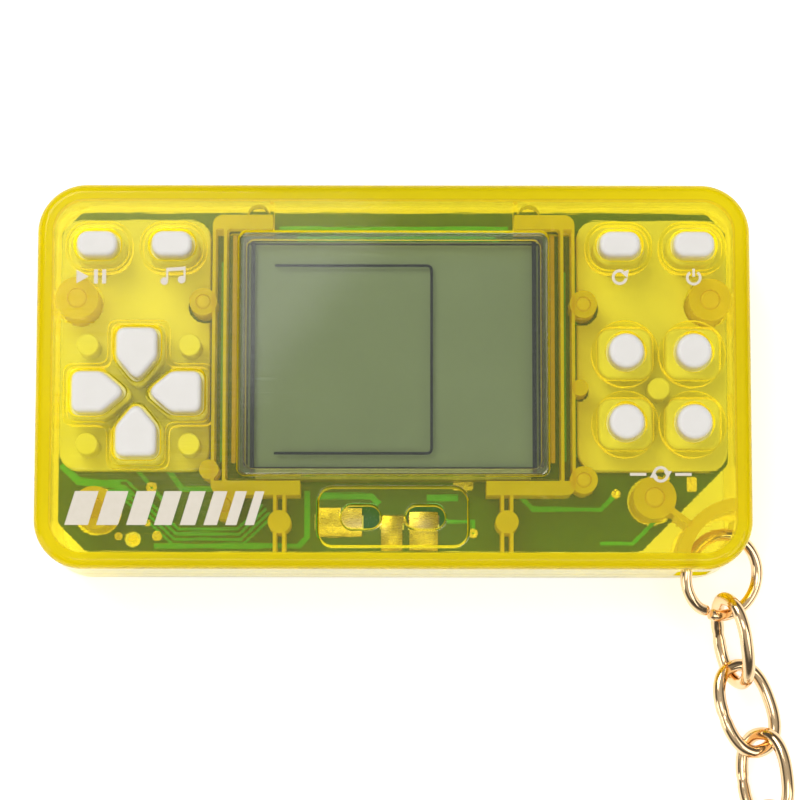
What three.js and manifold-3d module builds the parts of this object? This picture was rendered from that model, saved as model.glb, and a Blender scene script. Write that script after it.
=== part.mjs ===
// A pocket LCD game in a see-through case, on a short key chain.
//
// Millimetres. The game lies on its back: +X runs along its long side, +Y towards its top edge and
// +Z out of its screen. The origin is the centre of the back face, so the case stands on z = 0.
import * as THREE from "three";
import { mergeVertices } from "three/addons/utils/BufferGeometryUtils.js";
import Module from "manifold-3d";

const wasm = await Module();
wasm.setup();

// ---- Driving dimensions ----
const CASE = { width: 70, height: 37.9, depth: 14, corner: 4.8, edge: 1 };
const WALL = 1.6; // side walls of both shells
const FACE = 1.5; // front face
const FLOOR = 1.4; // back face
const SPLIT_Z = 6; // height at which the two shells meet
const GAP = 0.1; // clearance between fitted parts
const LIP = { height: 0.8, thick: 0.7 }; // tongue of the rear shell inside the front shell
const WINDOW = { y: 2.15, width: 30.4, height: 24.1, corner: 0.8, lens: 0.95, ledge: 0.75 };
const LCD = { width: 32.4, height: 24.5, glass: 0.7, film: 0.2, ledge: 1.3 };
const LCD_FRAME = { width: 32.8, height: 24.9, thick: 1.4, mouth: { top: 11.9, bottom: 9.1 } };
const BOARD = { width: 66.2, height: 33.9, thick: 1, top: 8.2, cutRight: 8.7, cutLeft: 2.8, cutTop: 2 };
const SHEET = { thick: 0.9, inner: 18.15, outer: 33, bottom: -9.05, top: 16.1, corner: 2 };
const KEY = { proud: 1.2, clearance: 0.25, flange: 0.55, flangeThick: 2, travel: 0.8 };
const DPAD = { x: -25, y: -1.8, reach: 6.3, shoulder: 3.4, tip: 1, half: 2 };
const ARROW_ROUNDS = [1.1, 0.5, 0.9, 0.9, 0.5]; // at its tip, a shoulder, its two outer corners, a shoulder
const COLLAR = { deep: 1.6, gap: 0.15, thick: 0.35 }; // walls under the face that guide the keys
const ACTION = { x: 26, y: -1.2, pitchX: 6.6, pitchY: 6.95, radius: 1.7, flange: 5.3 };
const FUNCTION = { x: [-29, -21.7, 22.15, 29.4], y: 12.8, width: 3.95, height: 2.45 };
const CASE_SCREWS = [[-31.1, 7.7], [31.1, 7.6], [-29.2, -12.95], [25.5, -11.9]];
const BOARD_SCREWS = [[-18.7, 7.35], [18.65, 7.15], [-16.5, -12.7], [18.6, -10.2]];
const RIB_POSTS = [[-11.1, -14.3], [11.1, -14.3]]; // posts that press on the board below the screen
const PEG = { x: -25.7, y: -15.7, radius: 0.5, hole: 0.8 }; // locates the board
const CELL = { radius: 5.8, thick: 5.4, x: 6, y: -3, bottom: 1.55 };
const DOOR = { width: 26, height: 14, corner: 1.5, thick: 1.2, tab: 7, screwY: 6.4 };
const BLOB = { radius: 3.9, height: 1.15 };
const BUZZER = { x: 21, y: 3.5, radius: 7.5, ceramic: 5 };
const SLOTS = { y: -13.9, width: 14.4, height: 5.5, deep: 0.5, hole: [3.8, 2.2], spread: 3.15 };
const CORNER_WALL = { x: 33.9, y: -18.2, inner: 5.05, outer: 6.3 }; // curved wall behind the ring
const RING_PORT = { bottom: 4.6, top: 10.2, x: [27.9, 31.2], y: [-17.2, -13.9] };
const RING = { at: [32.5, -19.1, 7.4], radius: 4.02, wire: 0.58, lean: 25, turn: 67, hang: -142, gap: 190 };
const LINK = { long: 4.4, short: 2.7, wire: 0.68, slack: 0.3 };
const KEY_RING = { radius: 9.4, wire: 0.58, coils: 1.8, rise: 1.25, start: 36 };

// How each link lies at rest, in degrees: heading in the plane of the floor, slope and roll.
const CHAIN = [
  { heading: -81, slope: -22, roll: 67 },
  { heading: -71, slope: -4, roll: -22 },
  { heading: -84, slope: 2, roll: 42 },
  { heading: -95, slope: 1, roll: -30 },
  { heading: -88, slope: 1, roll: 60 },
];
const KEY_RING_REST = { heading: -92, slope: -6.5, roll: -3 };

// ---- Levels worked out from them ----
const FACE_Z = CASE.depth - FACE; // inside of the front face
const BOARD_BOTTOM = BOARD.top - BOARD.thick;
const SHEET_TOP = BOARD.top + SHEET.thick;
const LCD_TOP = FACE_Z - GAP;
const KEY_FLANGE_TOP = FACE_Z - 0.2;
const KEY_FLANGE_BOTTOM = KEY_FLANGE_TOP - KEY.flangeThick;
const DEG = Math.PI / 180;
const ARC_STEPS = 3; // a quarter arc is drawn with twice this many straight pieces
const ROUND = 16; // sides of an ordinary round feature

// ---- Solids: three.js makes the shapes, manifold-3d joins and cuts them ----
function solidOf(geometry) {
  geometry.deleteAttribute("normal");
  geometry.deleteAttribute("uv");
  const merged = mergeVertices(geometry, 1e-4);
  const vertProperties = merged.attributes.position.array;
  const triVerts = new Uint32Array(merged.index.array);
  return new wasm.Manifold(new wasm.Mesh({ numProp: 3, vertProperties, triVerts }));
}

function geometryOf(solid) {
  const made = solid.getMesh();
  const geometry = new THREE.BufferGeometry();
  geometry.setAttribute("position", new THREE.BufferAttribute(made.vertProperties, 3));
  geometry.setIndex(new THREE.BufferAttribute(made.triVerts, 1));
  geometry.computeVertexNormals();
  return geometry;
}

function prism(shape, bottom, top) {
  const options = { depth: top - bottom, bevelEnabled: false, curveSegments: ARC_STEPS };
  return solidOf(new THREE.ExtrudeGeometry(shape, options).translate(0, 0, bottom));
}

function cylinder(x, y, radius, bottom, top, sides = ROUND) {
  const geometry = new THREE.CylinderGeometry(radius, radius, top - bottom, sides);
  return solidOf(geometry.rotateX(Math.PI / 2).translate(x, y, (bottom + top) / 2));
}

function box(x0, x1, y0, y1, z0, z1) {
  const geometry = new THREE.BoxGeometry(x1 - x0, y1 - y0, z1 - z0);
  return solidOf(geometry.translate((x0 + x1) / 2, (y0 + y1) / 2, (z0 + z1) / 2));
}

// A solid of revolution about z, from its half outline as [radius, z] pairs.
function turned(profile, sides) {
  const points = profile.map(([radius, z]) => new THREE.Vector2(radius, z));
  return solidOf(new THREE.LatheGeometry(points, sides).rotateX(Math.PI / 2));
}

const joined = (solids) => solids.reduce((all, next) => all.add(next));
const cutBy = (solid, tools) => tools.reduce((left, tool) => left.subtract(tool), solid);

// ---- Outlines ----
function roundedRect(x, y, width, height, radius) {
  const right = x + width / 2 - radius;
  const left = x - width / 2 + radius;
  const top = y + height / 2 - radius;
  const bottom = y - height / 2 + radius;
  const shape = new THREE.Shape();
  shape.moveTo(left, bottom - radius);
  shape.absarc(right, bottom, radius, -Math.PI / 2, 0);
  shape.absarc(right, top, radius, 0, Math.PI / 2);
  shape.absarc(left, top, radius, Math.PI / 2, Math.PI);
  shape.absarc(left, bottom, radius, Math.PI, Math.PI * 1.5);
  return shape;
}

// A polygon whose corners are rounded off. `rounds` is how far from a corner its rounding starts,
// as one number or one for each corner.
function roundedPolygon(corners, rounds) {
  const shape = new THREE.Shape();
  corners.forEach((corner, i) => {
    const round = Array.isArray(rounds) ? rounds[i] : rounds;
    const before = corners[(i + corners.length - 1) % corners.length];
    const after = corners[(i + 1) % corners.length];
    const start = corner.clone().add(before.clone().sub(corner).setLength(round));
    const end = corner.clone().add(after.clone().sub(corner).setLength(round));
    if (i === 0) shape.moveTo(start.x, start.y);
    else shape.lineTo(start.x, start.y);
    shape.quadraticCurveTo(corner.x, corner.y, end.x, end.y);
  });
  shape.closePath();
  return shape;
}

const circle = (radius, sides = ROUND) =>
  new THREE.Shape(new THREE.EllipseCurve(0, 0, radius, radius).getPoints(sides).slice(1));

const caseOutline = (inset) => roundedRect(
  0, 0, CASE.width - 2 * inset, CASE.height - 2 * inset, CASE.corner - inset,
);

// An arrow key of the direction pad, pointing its tip at the middle of the pad. Its own x axis
// runs outwards. `grow` moves the whole outline out.
function arrowOutline(grow) {
  const half = DPAD.half + grow;
  const outer = DPAD.reach + grow;
  const run = (DPAD.shoulder - DPAD.tip) / DPAD.half;
  const tip = DPAD.tip - grow * Math.hypot(run, 1);
  const shoulder = tip + run * half;
  const corners = [[tip, 0], [shoulder, -half], [outer, -half], [outer, half], [shoulder, half]];
  return roundedPolygon(corners.map(([x, y]) => new THREE.Vector2(x, y)), ARROW_ROUNDS);
}

function pillOutline(grow) {
  const height = FUNCTION.height + 2 * grow;
  return roundedRect(0, 0, FUNCTION.width + 2 * grow, height, height / 2 - 0.05);
}

const roundOutline = (grow) => circle(ACTION.radius + grow);

function actionFlange(grow) {
  return roundedRect(0, 0, ACTION.flange + 2 * grow, ACTION.flange - 0.3 + 2 * grow, 1.3 + grow);
}

// Every key: its place, its turn about z, the outline of its top, and that of its hidden flange.
const KEYS = [
  ...[["right", 0], ["up", 90], ["left", 180], ["down", 270]].map(([side, turn]) => ({
    name: `key_${side}`, x: DPAD.x, y: DPAD.y, turn,
    outline: arrowOutline, flange: arrowOutline(KEY.flange), stem: [4.1, 0],
  })),
  ...[[-1, 1], [1, 1], [-1, -1], [1, -1]].map(([sx, sy], i) => ({
    name: `key_action_${i + 1}`, turn: 0, outline: roundOutline, flange: actionFlange(0), stem: [0, 0],
    x: ACTION.x + (sx * ACTION.pitchX) / 2, y: ACTION.y + (sy * ACTION.pitchY) / 2,
  })),
  ...["key_start_pause", "key_music", "key_reset", "key_power"].map((name, i) => ({
    name, x: FUNCTION.x[i], y: FUNCTION.y, turn: 0,
    outline: pillOutline, flange: pillOutline(KEY.flange), stem: [0, 0],
  })),
];
const STEM_RADIUS = 1.5;

// A key's outline as a solid in the case's frame, for cutting its hole.
function keyHole(key, grow, bottom, top) {
  const hole = prism(key.outline(grow), bottom, top);
  return hole.rotate([0, 0, key.turn]).translate([key.x, key.y, 0]);
}

// ---- Case ----
// One half of the case before it is hollowed: the rounded block from `bottom` to `top`.
function caseBlock(bottom, top) {
  const options = {
    depth: CASE.depth - 2 * CASE.edge, curveSegments: ARC_STEPS,
    bevelThickness: CASE.edge, bevelSize: CASE.edge, bevelSegments: 3,
  };
  const geometry = new THREE.ExtrudeGeometry(caseOutline(CASE.edge), options);
  const block = solidOf(geometry.translate(0, 0, CASE.edge));
  return block.intersect(box(-CASE.width, CASE.width, -CASE.height, CASE.height, bottom, top));
}

// The two slots in the side walls that the corner ring passes through.
function ringPorts(bottom, top) {
  const low = -CASE.height / 2;
  const right = CASE.width / 2;
  return [
    box(...RING_PORT.x, low - 1, low + WALL + 1, bottom, top),
    box(right - WALL - 1, right + 1, ...RING_PORT.y, bottom, top),
  ];
}

// The quarter-round wall that keeps the ring out of the works, kept inside the cavity.
function cornerWall(bottom, top) {
  const { x, y, inner, outer } = CORNER_WALL;
  const hole = cylinder(x, y, inner, bottom - 1, top + 1, 40);
  const wall = cylinder(x, y, outer, bottom, top, 40).subtract(hole);
  return wall.intersect(prism(caseOutline(WALL - 0.2), bottom, top));
}

// The broken wall that holds the glass: a frame open in the middle of its top and bottom sides.
function lcdFrame(bottom) {
  const { width, height, thick, mouth } = LCD_FRAME;
  const outer = roundedRect(0, WINDOW.y, width + 2 * thick, height + 2 * thick, 1);
  const inner = roundedRect(0, WINDOW.y, width, height, 0.3);
  const frame = prism(outer, bottom, FACE_Z + 0.2).subtract(prism(inner, bottom - 1, FACE_Z + 1));
  return cutBy(frame, [
    box(-mouth.top, mouth.top, WINDOW.y, CASE.height, bottom - 1, FACE_Z + 1),
    box(-mouth.bottom, mouth.bottom, -CASE.height, WINDOW.y, bottom - 1, FACE_Z + 1),
  ]);
}

// A post with two thin ribs running down to the bottom wall and up to the screen's frame.
function ribPost([x, y], bottom) {
  const ribs = [-0.45, 0.45].map((dx) => box(
    x + dx - 0.18, x + dx + 0.18, -CASE.height / 2 + WALL - 0.2, -LCD_FRAME.height / 2 + WINDOW.y - 1,
    bottom, FACE_Z + 0.2,
  ));
  return joined([cylinder(x, y, 1.12, bottom, FACE_Z + 0.2), ...ribs]);
}

// The outline round all four arrow keys, grown to clear their flanges.
function padOutline(grow) {
  const half = DPAD.half + KEY.flange + grow;
  const outer = DPAD.reach + KEY.flange + grow;
  const corners = [
    [outer, half], [half, half], [half, outer], [-half, outer], [-half, half], [-outer, half],
    [-outer, -half], [-half, -half], [-half, -outer], [half, -outer], [half, -half], [outer, -half],
  ];
  return roundedPolygon(corners.map(([x, y]) => new THREE.Vector2(x, y)), 1);
}

// Thin walls hanging from the face round the arrow keys, each round key and each pill key.
function keyCollars() {
  const { deep, gap, thick } = COLLAR;
  const bottom = FACE_Z - deep;
  const ring = (outer, inner, x, y) => prism(outer, bottom, FACE_Z + 0.2)
    .subtract(prism(inner, bottom - 1, FACE_Z + 1))
    .translate([x, y, 0]);
  const single = KEYS.filter((key) => key.outline !== arrowOutline);
  const rings = single.map((key) => {
    if (key.outline === pillOutline) {
      return ring(pillOutline(KEY.flange + gap + thick), pillOutline(KEY.flange + gap), key.x, key.y);
    }
    return ring(circle(ACTION.pitchX / 2 - 0.02), actionFlange(gap), key.x, key.y);
  });
  return [ring(padOutline(gap + thick), padOutline(gap), DPAD.x, DPAD.y), ...rings];
}

function frontShell() {
  const onBoard = BOARD.top + GAP;
  const hollow = prism(caseOutline(WALL), SPLIT_Z - 1, FACE_Z);
  const groove = prism(caseOutline(WALL - LIP.thick - GAP), SPLIT_Z - 1, SPLIT_Z + LIP.height + GAP);
  const shell = cutBy(caseBlock(SPLIT_Z, CASE.depth), [hollow, groove]);
  const caseBosses = CASE_SCREWS.map(([x, y]) => cylinder(x, y, 2.1, SPLIT_Z + GAP, FACE_Z + 0.2));
  const boardBosses = BOARD_SCREWS.map(([x, y]) => cylinder(x, y, 1.35, onBoard, FACE_Z + 0.2));
  const tabs = [-1, 1].map((side) => joined([
    box(side * 12 - 0.2, side * 12 + 0.2, 14.7, CASE.height / 2 - WALL + 0.2, 10, FACE_Z + 0.2),
    cylinder(side * 13.3, 15.9, 1.1, 10, FACE_Z + 0.2),
  ]));
  const fittings = joined([
    lcdFrame(onBoard), cornerWall(SPLIT_Z + LIP.height + 2 * GAP, FACE_Z + 0.2),
    ...RIB_POSTS.map((post) => ribPost(post, onBoard)), ...caseBosses, ...boardBosses, ...tabs,
    ...keyCollars(),
  ]);
  const { x, y, width, height, corner, lens, ledge } = { x: 0, ...WINDOW };
  const recess = roundedRect(x, y, width, height, corner);
  const opening = roundedRect(x, y, width - 2 * ledge, height - 2 * ledge, corner);
  const [slotWide, slotHigh] = SLOTS.hole;
  return cutBy(shell.add(fittings), [
    prism(recess, CASE.depth - lens, CASE.depth + 1),
    prism(opening, SPLIT_Z, CASE.depth + 1),
    ...KEYS.map((key) => keyHole(key, KEY.clearance, FACE_Z - 1, CASE.depth + 1)),
    prism(roundedRect(0, SLOTS.y, SLOTS.width, SLOTS.height, 1.3), CASE.depth - SLOTS.deep, CASE.depth + 1),
    ...[-1, 1].map((side) => prism(
      roundedRect(side * SLOTS.spread, SLOTS.y, slotWide, slotHigh, slotHigh / 2 - 0.05),
      FACE_Z - 0.1, CASE.depth,
    )),
    ...CASE_SCREWS.map(([sx, sy]) => cylinder(sx, sy, 1, SPLIT_Z - 1, 11.5)),
    ...BOARD_SCREWS.map(([sx, sy]) => cylinder(sx, sy, 0.75, SPLIT_Z - 1, 11.5, 12)),
    ...ringPorts(SPLIT_Z - 1, RING_PORT.top),
  ]);
}

// Counterbored posts, battery box, buzzer seat and sound holes stand on the rear shell's floor.
function rearShell() {
  const hollow = prism(caseOutline(WALL), FLOOR, SPLIT_Z + 2);
  const tongue = prism(caseOutline(WALL - LIP.thick), SPLIT_Z - 1, SPLIT_Z + LIP.height)
    .subtract(prism(caseOutline(WALL), SPLIT_Z - 2, SPLIT_Z + 2));
  const shell = caseBlock(0, SPLIT_Z).subtract(hollow).add(tongue);
  const posts = CASE_SCREWS.map(([x, y]) => cylinder(x, y, 2.6, FLOOR - 0.2, SPLIT_Z));
  const batteryBox = prism(roundedRect(0, CELL.y, 26.8, 15, 1), FLOOR - 0.2, BOARD_BOTTOM - 0.5);
  const doorPost = cylinder(0, DOOR.screwY, 2, FLOOR - 0.1, BOARD_BOTTOM - 0.5);
  const seat = cylinder(BUZZER.x, BUZZER.y, BUZZER.radius + 0.8, FLOOR - 0.2, 2.6, 40);
  const boardRests = [-1, 1].map((side) => box(
    side * 32.5 - 0.8, side * 32.5 + 0.8, -4, -1, FLOOR - 0.2, BOARD_BOTTOM - GAP,
  ));
  const tunnel = cornerWall(FLOOR - 0.2, SPLIT_Z + LIP.height);
  const holes = [...Array(6).keys()].map((i) => i * 60 * DEG)
    .map((angle) => [2.4 * Math.cos(angle), 2.4 * Math.sin(angle)]);
  const peg = cylinder(PEG.x, PEG.y, PEG.radius, FLOOR - 0.2, BOARD.top, 12);
  const solid = joined([shell, tunnel, batteryBox, doorPost, seat, peg, ...posts, ...boardRests]);
  return cutBy(solid, [
    prism(roundedRect(0, CELL.y, 24.4, 12.4, 0.6), -1, BOARD.top),
    prism(roundedRect(0, CELL.y, DOOR.width + 0.3, DOOR.height + 0.3, DOOR.corner), -1, FLOOR - GAP),
    prism(roundedRect(0, DOOR.screwY - 0.5, DOOR.tab + 0.3, 6, 1.5), -1, FLOOR - GAP),
    cylinder(0, DOOR.screwY, 0.85, -1, BOARD.top),
    cylinder(BUZZER.x, BUZZER.y, BUZZER.radius + GAP, 1.9, 3, 40),
    cylinder(BUZZER.x, BUZZER.y, BUZZER.radius - 0.8, FLOOR, 3, 40),
    ...[[0, 0], ...holes].map(([x, y]) => cylinder(BUZZER.x + x, BUZZER.y + y, 0.6, -1, 3, 10)),
    ...CASE_SCREWS.map(([x, y]) => cylinder(x, y, 1.75, -1, 2.6)),
    ...CASE_SCREWS.map(([x, y]) => cylinder(x, y, 1.1, -1, SPLIT_Z + 1)),
    ...ringPorts(RING_PORT.bottom, SPLIT_Z + 2),
  ]);
}

function batteryDoor() {
  const plate = prism(roundedRect(0, CELL.y, DOOR.width, DOOR.height, DOOR.corner), 0, DOOR.thick);
  const tab = prism(roundedRect(0, DOOR.screwY - 0.5, DOOR.tab, 5.7, 1.5), 0, DOOR.thick);
  const grooves = [-8, -6.6, 6.6, 8].map((x) => box(x - 0.3, x + 0.3, CELL.y - 4.5, CELL.y + 4.5, -1, 0.35));
  return cutBy(plate.add(tab), [
    cylinder(0, DOOR.screwY, 1.6, -1, 0.75), cylinder(0, DOOR.screwY, 0.95, -1, 2), ...grooves,
  ]);
}

// A cross-headed screw with its head at z = 0 facing down and its shank rising to `length`.
function screw(headRadius, headThick, shankRadius, length) {
  const profile = [
    [0, 0], [headRadius * 0.8, 0], [headRadius, headThick * 0.5], [headRadius, headThick],
    [shankRadius, headThick], [shankRadius, length - 0.8], [0, length],
  ];
  const body = turned(profile, 12);
  const arm = headRadius * 0.62;
  const slot = headThick * 0.6;
  return cutBy(body, [
    box(-arm, arm, -0.17, 0.17, -1, slot),
    box(-0.17, 0.17, -arm, arm, -1, slot),
  ]);
}

// ---- Keypads ----
function keypadSheet(side) {
  const { inner, outer, bottom, top, corner, thick } = SHEET;
  const middle = (side * (inner + outer)) / 2;
  const outline = roundedRect(middle, (top + bottom) / 2, outer - inner, top - bottom, corner);
  const sheet = prism(outline, BOARD.top, SHEET_TOP);
  const mine = KEYS.filter((key) => Math.sign(key.x) === side);
  const spacers = side < 0
    ? [[-5, -4.9], [5, -4.9], [-5, 4.9], [5, 4.9]].map(([x, y]) => [DPAD.x + x, DPAD.y + y])
    : [[ACTION.x, ACTION.y]];
  const bumps = spacers.map(([x, y]) => cylinder(x, y, 1.1, BOARD.top + thick / 2, FACE_Z - 0.2, 16));
  const wells = mine.map((key) => cylinder(key.stem[0], key.stem[1], 2.2, 0, CASE.depth, 16)
    .rotate([0, 0, key.turn]).translate([key.x, key.y, 0]));
  const reliefs = [...CASE_SCREWS, ...BOARD_SCREWS].map(([x, y], i) => cylinder(
    x, y, i < CASE_SCREWS.length ? 2.35 : 1.65, 0, CASE.depth,
  ));
  return cutBy(joined([sheet, ...bumps]), [...wells, ...reliefs]);
}

// A key in its own frame: z = 0 is the case's z = 0, the outline's own origin is the key's place.
function keySolid(key) {
  const [stemX, stemY] = key.stem;
  const head = prism(key.outline(0), KEY_FLANGE_TOP - GAP, CASE.depth + KEY.proud);
  const flange = prism(key.flange, KEY_FLANGE_BOTTOM, KEY_FLANGE_TOP);
  const foot = BOARD.top + KEY.travel + GAP;
  const stem = cylinder(stemX, stemY, STEM_RADIUS, foot, KEY_FLANGE_BOTTOM + GAP, 16);
  return joined([head, flange, stem]);
}

// ---- Board and its parts ----
function mainBoard() {
  const x = BOARD.width / 2;
  const y = BOARD.height / 2;
  const corners = [
    [-x + BOARD.cutLeft, -y], [x - BOARD.cutRight, -y], [x, -y + BOARD.cutRight],
    [x, y - BOARD.cutTop], [x - BOARD.cutTop, y], [-x + BOARD.cutTop, y], [-x, y - BOARD.cutTop],
    [-x, -y + BOARD.cutLeft],
  ];
  const outline = roundedPolygon(corners.map(([px, py]) => new THREE.Vector2(px, py)), 0.4);
  return cutBy(prism(outline, BOARD_BOTTOM, BOARD.top), [
    ...CASE_SCREWS.map(([sx, sy]) => cylinder(sx, sy, 2.4, 0, CASE.depth)),
    ...BOARD_SCREWS.map(([sx, sy]) => cylinder(sx, sy, 0.85, 0, CASE.depth, 12)),
    ...CONTACT_TABS.map(({ x: [left, right] }) => box(
      left - 0.15, right + 0.15, -14.75, -13.25, 0, CASE.depth,
    )),
    cylinder(PEG.x, PEG.y, PEG.hole, 0, CASE.depth),
  ]);
}

// The three battery-contact tabs that come up through the board and lie along its top.
const CONTACT_TABS = [
  { x: [-7.6, -3.1], y: [-15.4, -12.6] }, { x: [-1.2, 0.9], y: [-16.8, -13.4] },
  { x: [1.6, 4.4], y: [-16.8, -13] },
];
const STRIP = 0.2; // sheet-metal thickness of the contacts

// A contact: a blade over its cell, a foot running to the board's slots and a tab folded over the top.
function batteryContact(cellX, tabs) {
  const under = BOARD_BOTTOM - STRIP - 0.01;
  const blade = prism(roundedRect(cellX, CELL.y, 5, 7, 1), under, under + STRIP);
  const left = Math.min(cellX - 1.5, ...tabs.map((tab) => tab.x[0]));
  const right = Math.max(cellX + 1.5, ...tabs.map((tab) => tab.x[1]));
  const foot = box(cellX - 1.5, cellX + 1.5, -12.5, CELL.y, under, under + STRIP);
  const rail = box(left, right, -14.1, -12.3, under, under + STRIP);
  const top = BOARD.top + 0.5;
  const folds = tabs.map(({ x: [from, to], y: [low, high] }) => joined([
    box(from, to, -14.1, -13.9, under, top),
    box(from, to, low, high, top - STRIP, top),
    box(from, to, low, low + STRIP, BOARD.top + 0.02, top),
  ]));
  return joined([blade, foot, rail, ...folds]);
}

function contactBridge() {
  return box(-9, 9, CELL.y - 2.5, CELL.y + 2.5, DOOR.thick + 0.01, DOOR.thick + 0.01 + STRIP);
}

// A button cell: the can, and the smaller cap standing out of it at the top or the bottom.
function buttonCell(capUp) {
  const profile = [
    [0, 0], [5.5, 0], [5.8, 0.3], [5.8, 5], [5.1, 5.15], [4.9, 5.4], [0, 5.4],
  ];
  const cell = turned(profile, 28);
  return capUp ? cell : cell.rotate([180, 0, 0]).translate([0, 0, CELL.thick]);
}

// The epoxy drop over the bare chip, hanging from the board.
function chipBlob() {
  const profile = [[0, 0]];
  for (let i = 0; i < 6; i += 1) {
    const angle = i * 18 * DEG;
    profile.push([BLOB.radius * Math.cos(angle), BLOB.height * Math.sin(angle)]);
  }
  profile[6] = [0, BLOB.height];
  return turned(profile, 20).rotate([180, 0, 0]);
}

function tube(points, radius, steps, sides) {
  const path = new THREE.CatmullRomCurve3(points.map((point) => new THREE.Vector3(...point)));
  return new THREE.ExtrudeGeometry(circle(radius, sides), { steps, extrudePath: path });
}

// ---- Chain ----
// Round wire laid along a closed flat curve: `at` gives the curve's point for an angle.
function loopGeometry(at, wireRadius, steps, sides) {
  const positions = [];
  const index = [];
  for (let i = 0; i < steps; i += 1) {
    const angle = (i / steps) * 2 * Math.PI;
    const [x, y] = at(angle);
    const [nextX, nextY] = at(angle + 1e-4);
    const outwards = new THREE.Vector2(nextY - y, x - nextX).normalize();
    for (let j = 0; j < sides; j += 1) {
      const round = (j / sides) * 2 * Math.PI;
      const out = wireRadius * Math.cos(round);
      positions.push(x + outwards.x * out, y + outwards.y * out, wireRadius * Math.sin(round));
      const [a, b] = [i * sides + j, i * sides + ((j + 1) % sides)];
      const [c, d] = [a, b].map((corner) => (corner + sides) % (steps * sides));
      index.push(a, c, b, b, c, d);
    }
  }
  const geometry = new THREE.BufferGeometry();
  geometry.setAttribute("position", new THREE.Float32BufferAttribute(positions, 3));
  geometry.setIndex(index);
  geometry.computeVertexNormals();
  return geometry;
}

// A link's centre line: between an ellipse and a slot with round ends.
function ovalPoint(angle) {
  const squareness = 0.86;
  const x = Math.sign(Math.cos(angle)) * Math.abs(Math.cos(angle)) ** squareness;
  const y = Math.sign(Math.sin(angle)) * Math.abs(Math.sin(angle)) ** squareness;
  return [LINK.long * x, LINK.short * y];
}

const linkGeometry = () => loopGeometry(ovalPoint, LINK.wire, 24, 8);

// A ring of round wire, wound `coils` times round z with the turns just clear of one another.
class Coil extends THREE.Curve {
  constructor(radius, coils, rise, start) {
    super();
    Object.assign(this, { radius, coils, rise, start });
  }

  getPoint(t, target = new THREE.Vector3()) {
    const turn = this.start + t * this.coils * 2 * Math.PI;
    const height = (t - 0.5) * this.coils * this.rise;
    return target.set(this.radius * Math.cos(turn), this.radius * Math.sin(turn), height);
  }
}

function ringGeometry(radius, wire, coils, rise, start, steps) {
  const path = new Coil(radius, coils, rise, start);
  return new THREE.ExtrudeGeometry(circle(wire, 8), { steps, extrudePath: path });
}

// ---- Materials ----
const finish = (color, roughness, metalness, opacity = 1) => new THREE.MeshStandardMaterial({
  color, roughness, metalness, opacity, transparent: opacity < 1,
});
const LOOK = {
  shell: () => finish(0xe8d60a, 0.12, 0, 0.55),
  lens: () => finish(0xf2f5ef, 0.05, 0, 0.25),
  silicone: () => finish(0xf1ede6, 0.5, 0),
  board: () => finish(0x2f7d32, 0.4, 0),
  glass: () => finish(0xb9c4b0, 0.05, 0, 0.4),
  film: () => finish(0x8a9474, 0.35, 0),
  carbon: () => finish(0x16181a, 0.6, 0),
  brass: () => finish(0xc9a646, 0.3, 1),
  ceramic: () => finish(0xe9e6da, 0.6, 0),
  steel: () => finish(0xc6c8ca, 0.25, 1),
  foam: () => finish(0x3a3a3a, 0.9, 0),
  red: () => finish(0xb3261e, 0.5, 0),
  black: () => finish(0x1c1c1c, 0.5, 0),
  tan: () => finish(0xb08a5a, 0.5, 0),
  gold: () => finish(0xe3b778, 0.18, 1),
};

function piece(parent, name, shape, look, position = [0, 0, 0], turn = 0) {
  const geometry = shape.isBufferGeometry ? shape : geometryOf(shape);
  const mesh = new THREE.Mesh(geometry, LOOK[look]());
  mesh.name = name;
  mesh.position.set(...position);
  mesh.rotation.z = turn * DEG;
  parent.add(mesh);
  return mesh;
}

// ---- Assembly ----
const game = new THREE.Group();

const housing = new THREE.Group();
game.add(housing);
piece(housing, "front_shell", frontShell(), "shell");
piece(housing, "rear_shell", rearShell(), "shell");
piece(housing, "battery_door", batteryDoor(), "shell");
piece(housing, "door_screw", screw(1.45, 0.6, 0.75, 4.6), "steel", [0, DOOR.screwY, 0.1]);
CASE_SCREWS.forEach(([x, y], i) => {
  piece(housing, `case_screw_${i + 1}`, screw(1.55, 1, 0.9, 7.2), "steel", [x, y, 1.55]);
});
const lensOutline = roundedRect(0, WINDOW.y, WINDOW.width - 2 * GAP, WINDOW.height - 2 * GAP, WINDOW.corner);
piece(housing, "window_lens", prism(lensOutline, CASE.depth - WINDOW.lens + 0.01, CASE.depth), "lens");

const screen = new THREE.Group();
screen.position.set(0, WINDOW.y, LCD_TOP);
game.add(screen);
const filmWide = WINDOW.width - 1;
const filmHigh = WINDOW.height - 1.2;
const glassTop = -LCD.film;
const glassSplit = glassTop - LCD.glass;
const glassBottom = glassSplit - LCD.glass;

function slab(wide, high, y, bottom, top) {
  return box(-wide / 2, wide / 2, y - high / 2, y + high / 2, bottom, top);
}

piece(screen, "front_polariser", slab(filmWide, filmHigh, 0, glassTop, 0), "film");
piece(screen, "lcd_front_glass", slab(LCD.width, LCD.height, 0, glassSplit, glassTop), "glass");
piece(
  screen, "lcd_rear_glass",
  slab(LCD.width, LCD.height - LCD.ledge, LCD.ledge / 2, glassBottom, glassSplit), "glass",
);
piece(
  screen, "rear_polariser",
  slab(filmWide, filmHigh - 0.4, 0.2, glassBottom - LCD.film, glassBottom), "film",
);
const zebraY = -LCD.height / 2 + 0.6;
const screenBase = BOARD.top - LCD_TOP;
piece(screen, "zebra_strip", box(-13.5, 13.5, zebraY - 0.5, zebraY + 0.5, screenBase, glassSplit), "carbon");
piece(screen, "foam_strip", box(-13, 13, 9, 11, screenBase, glassBottom - LCD.film), "foam");

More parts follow.
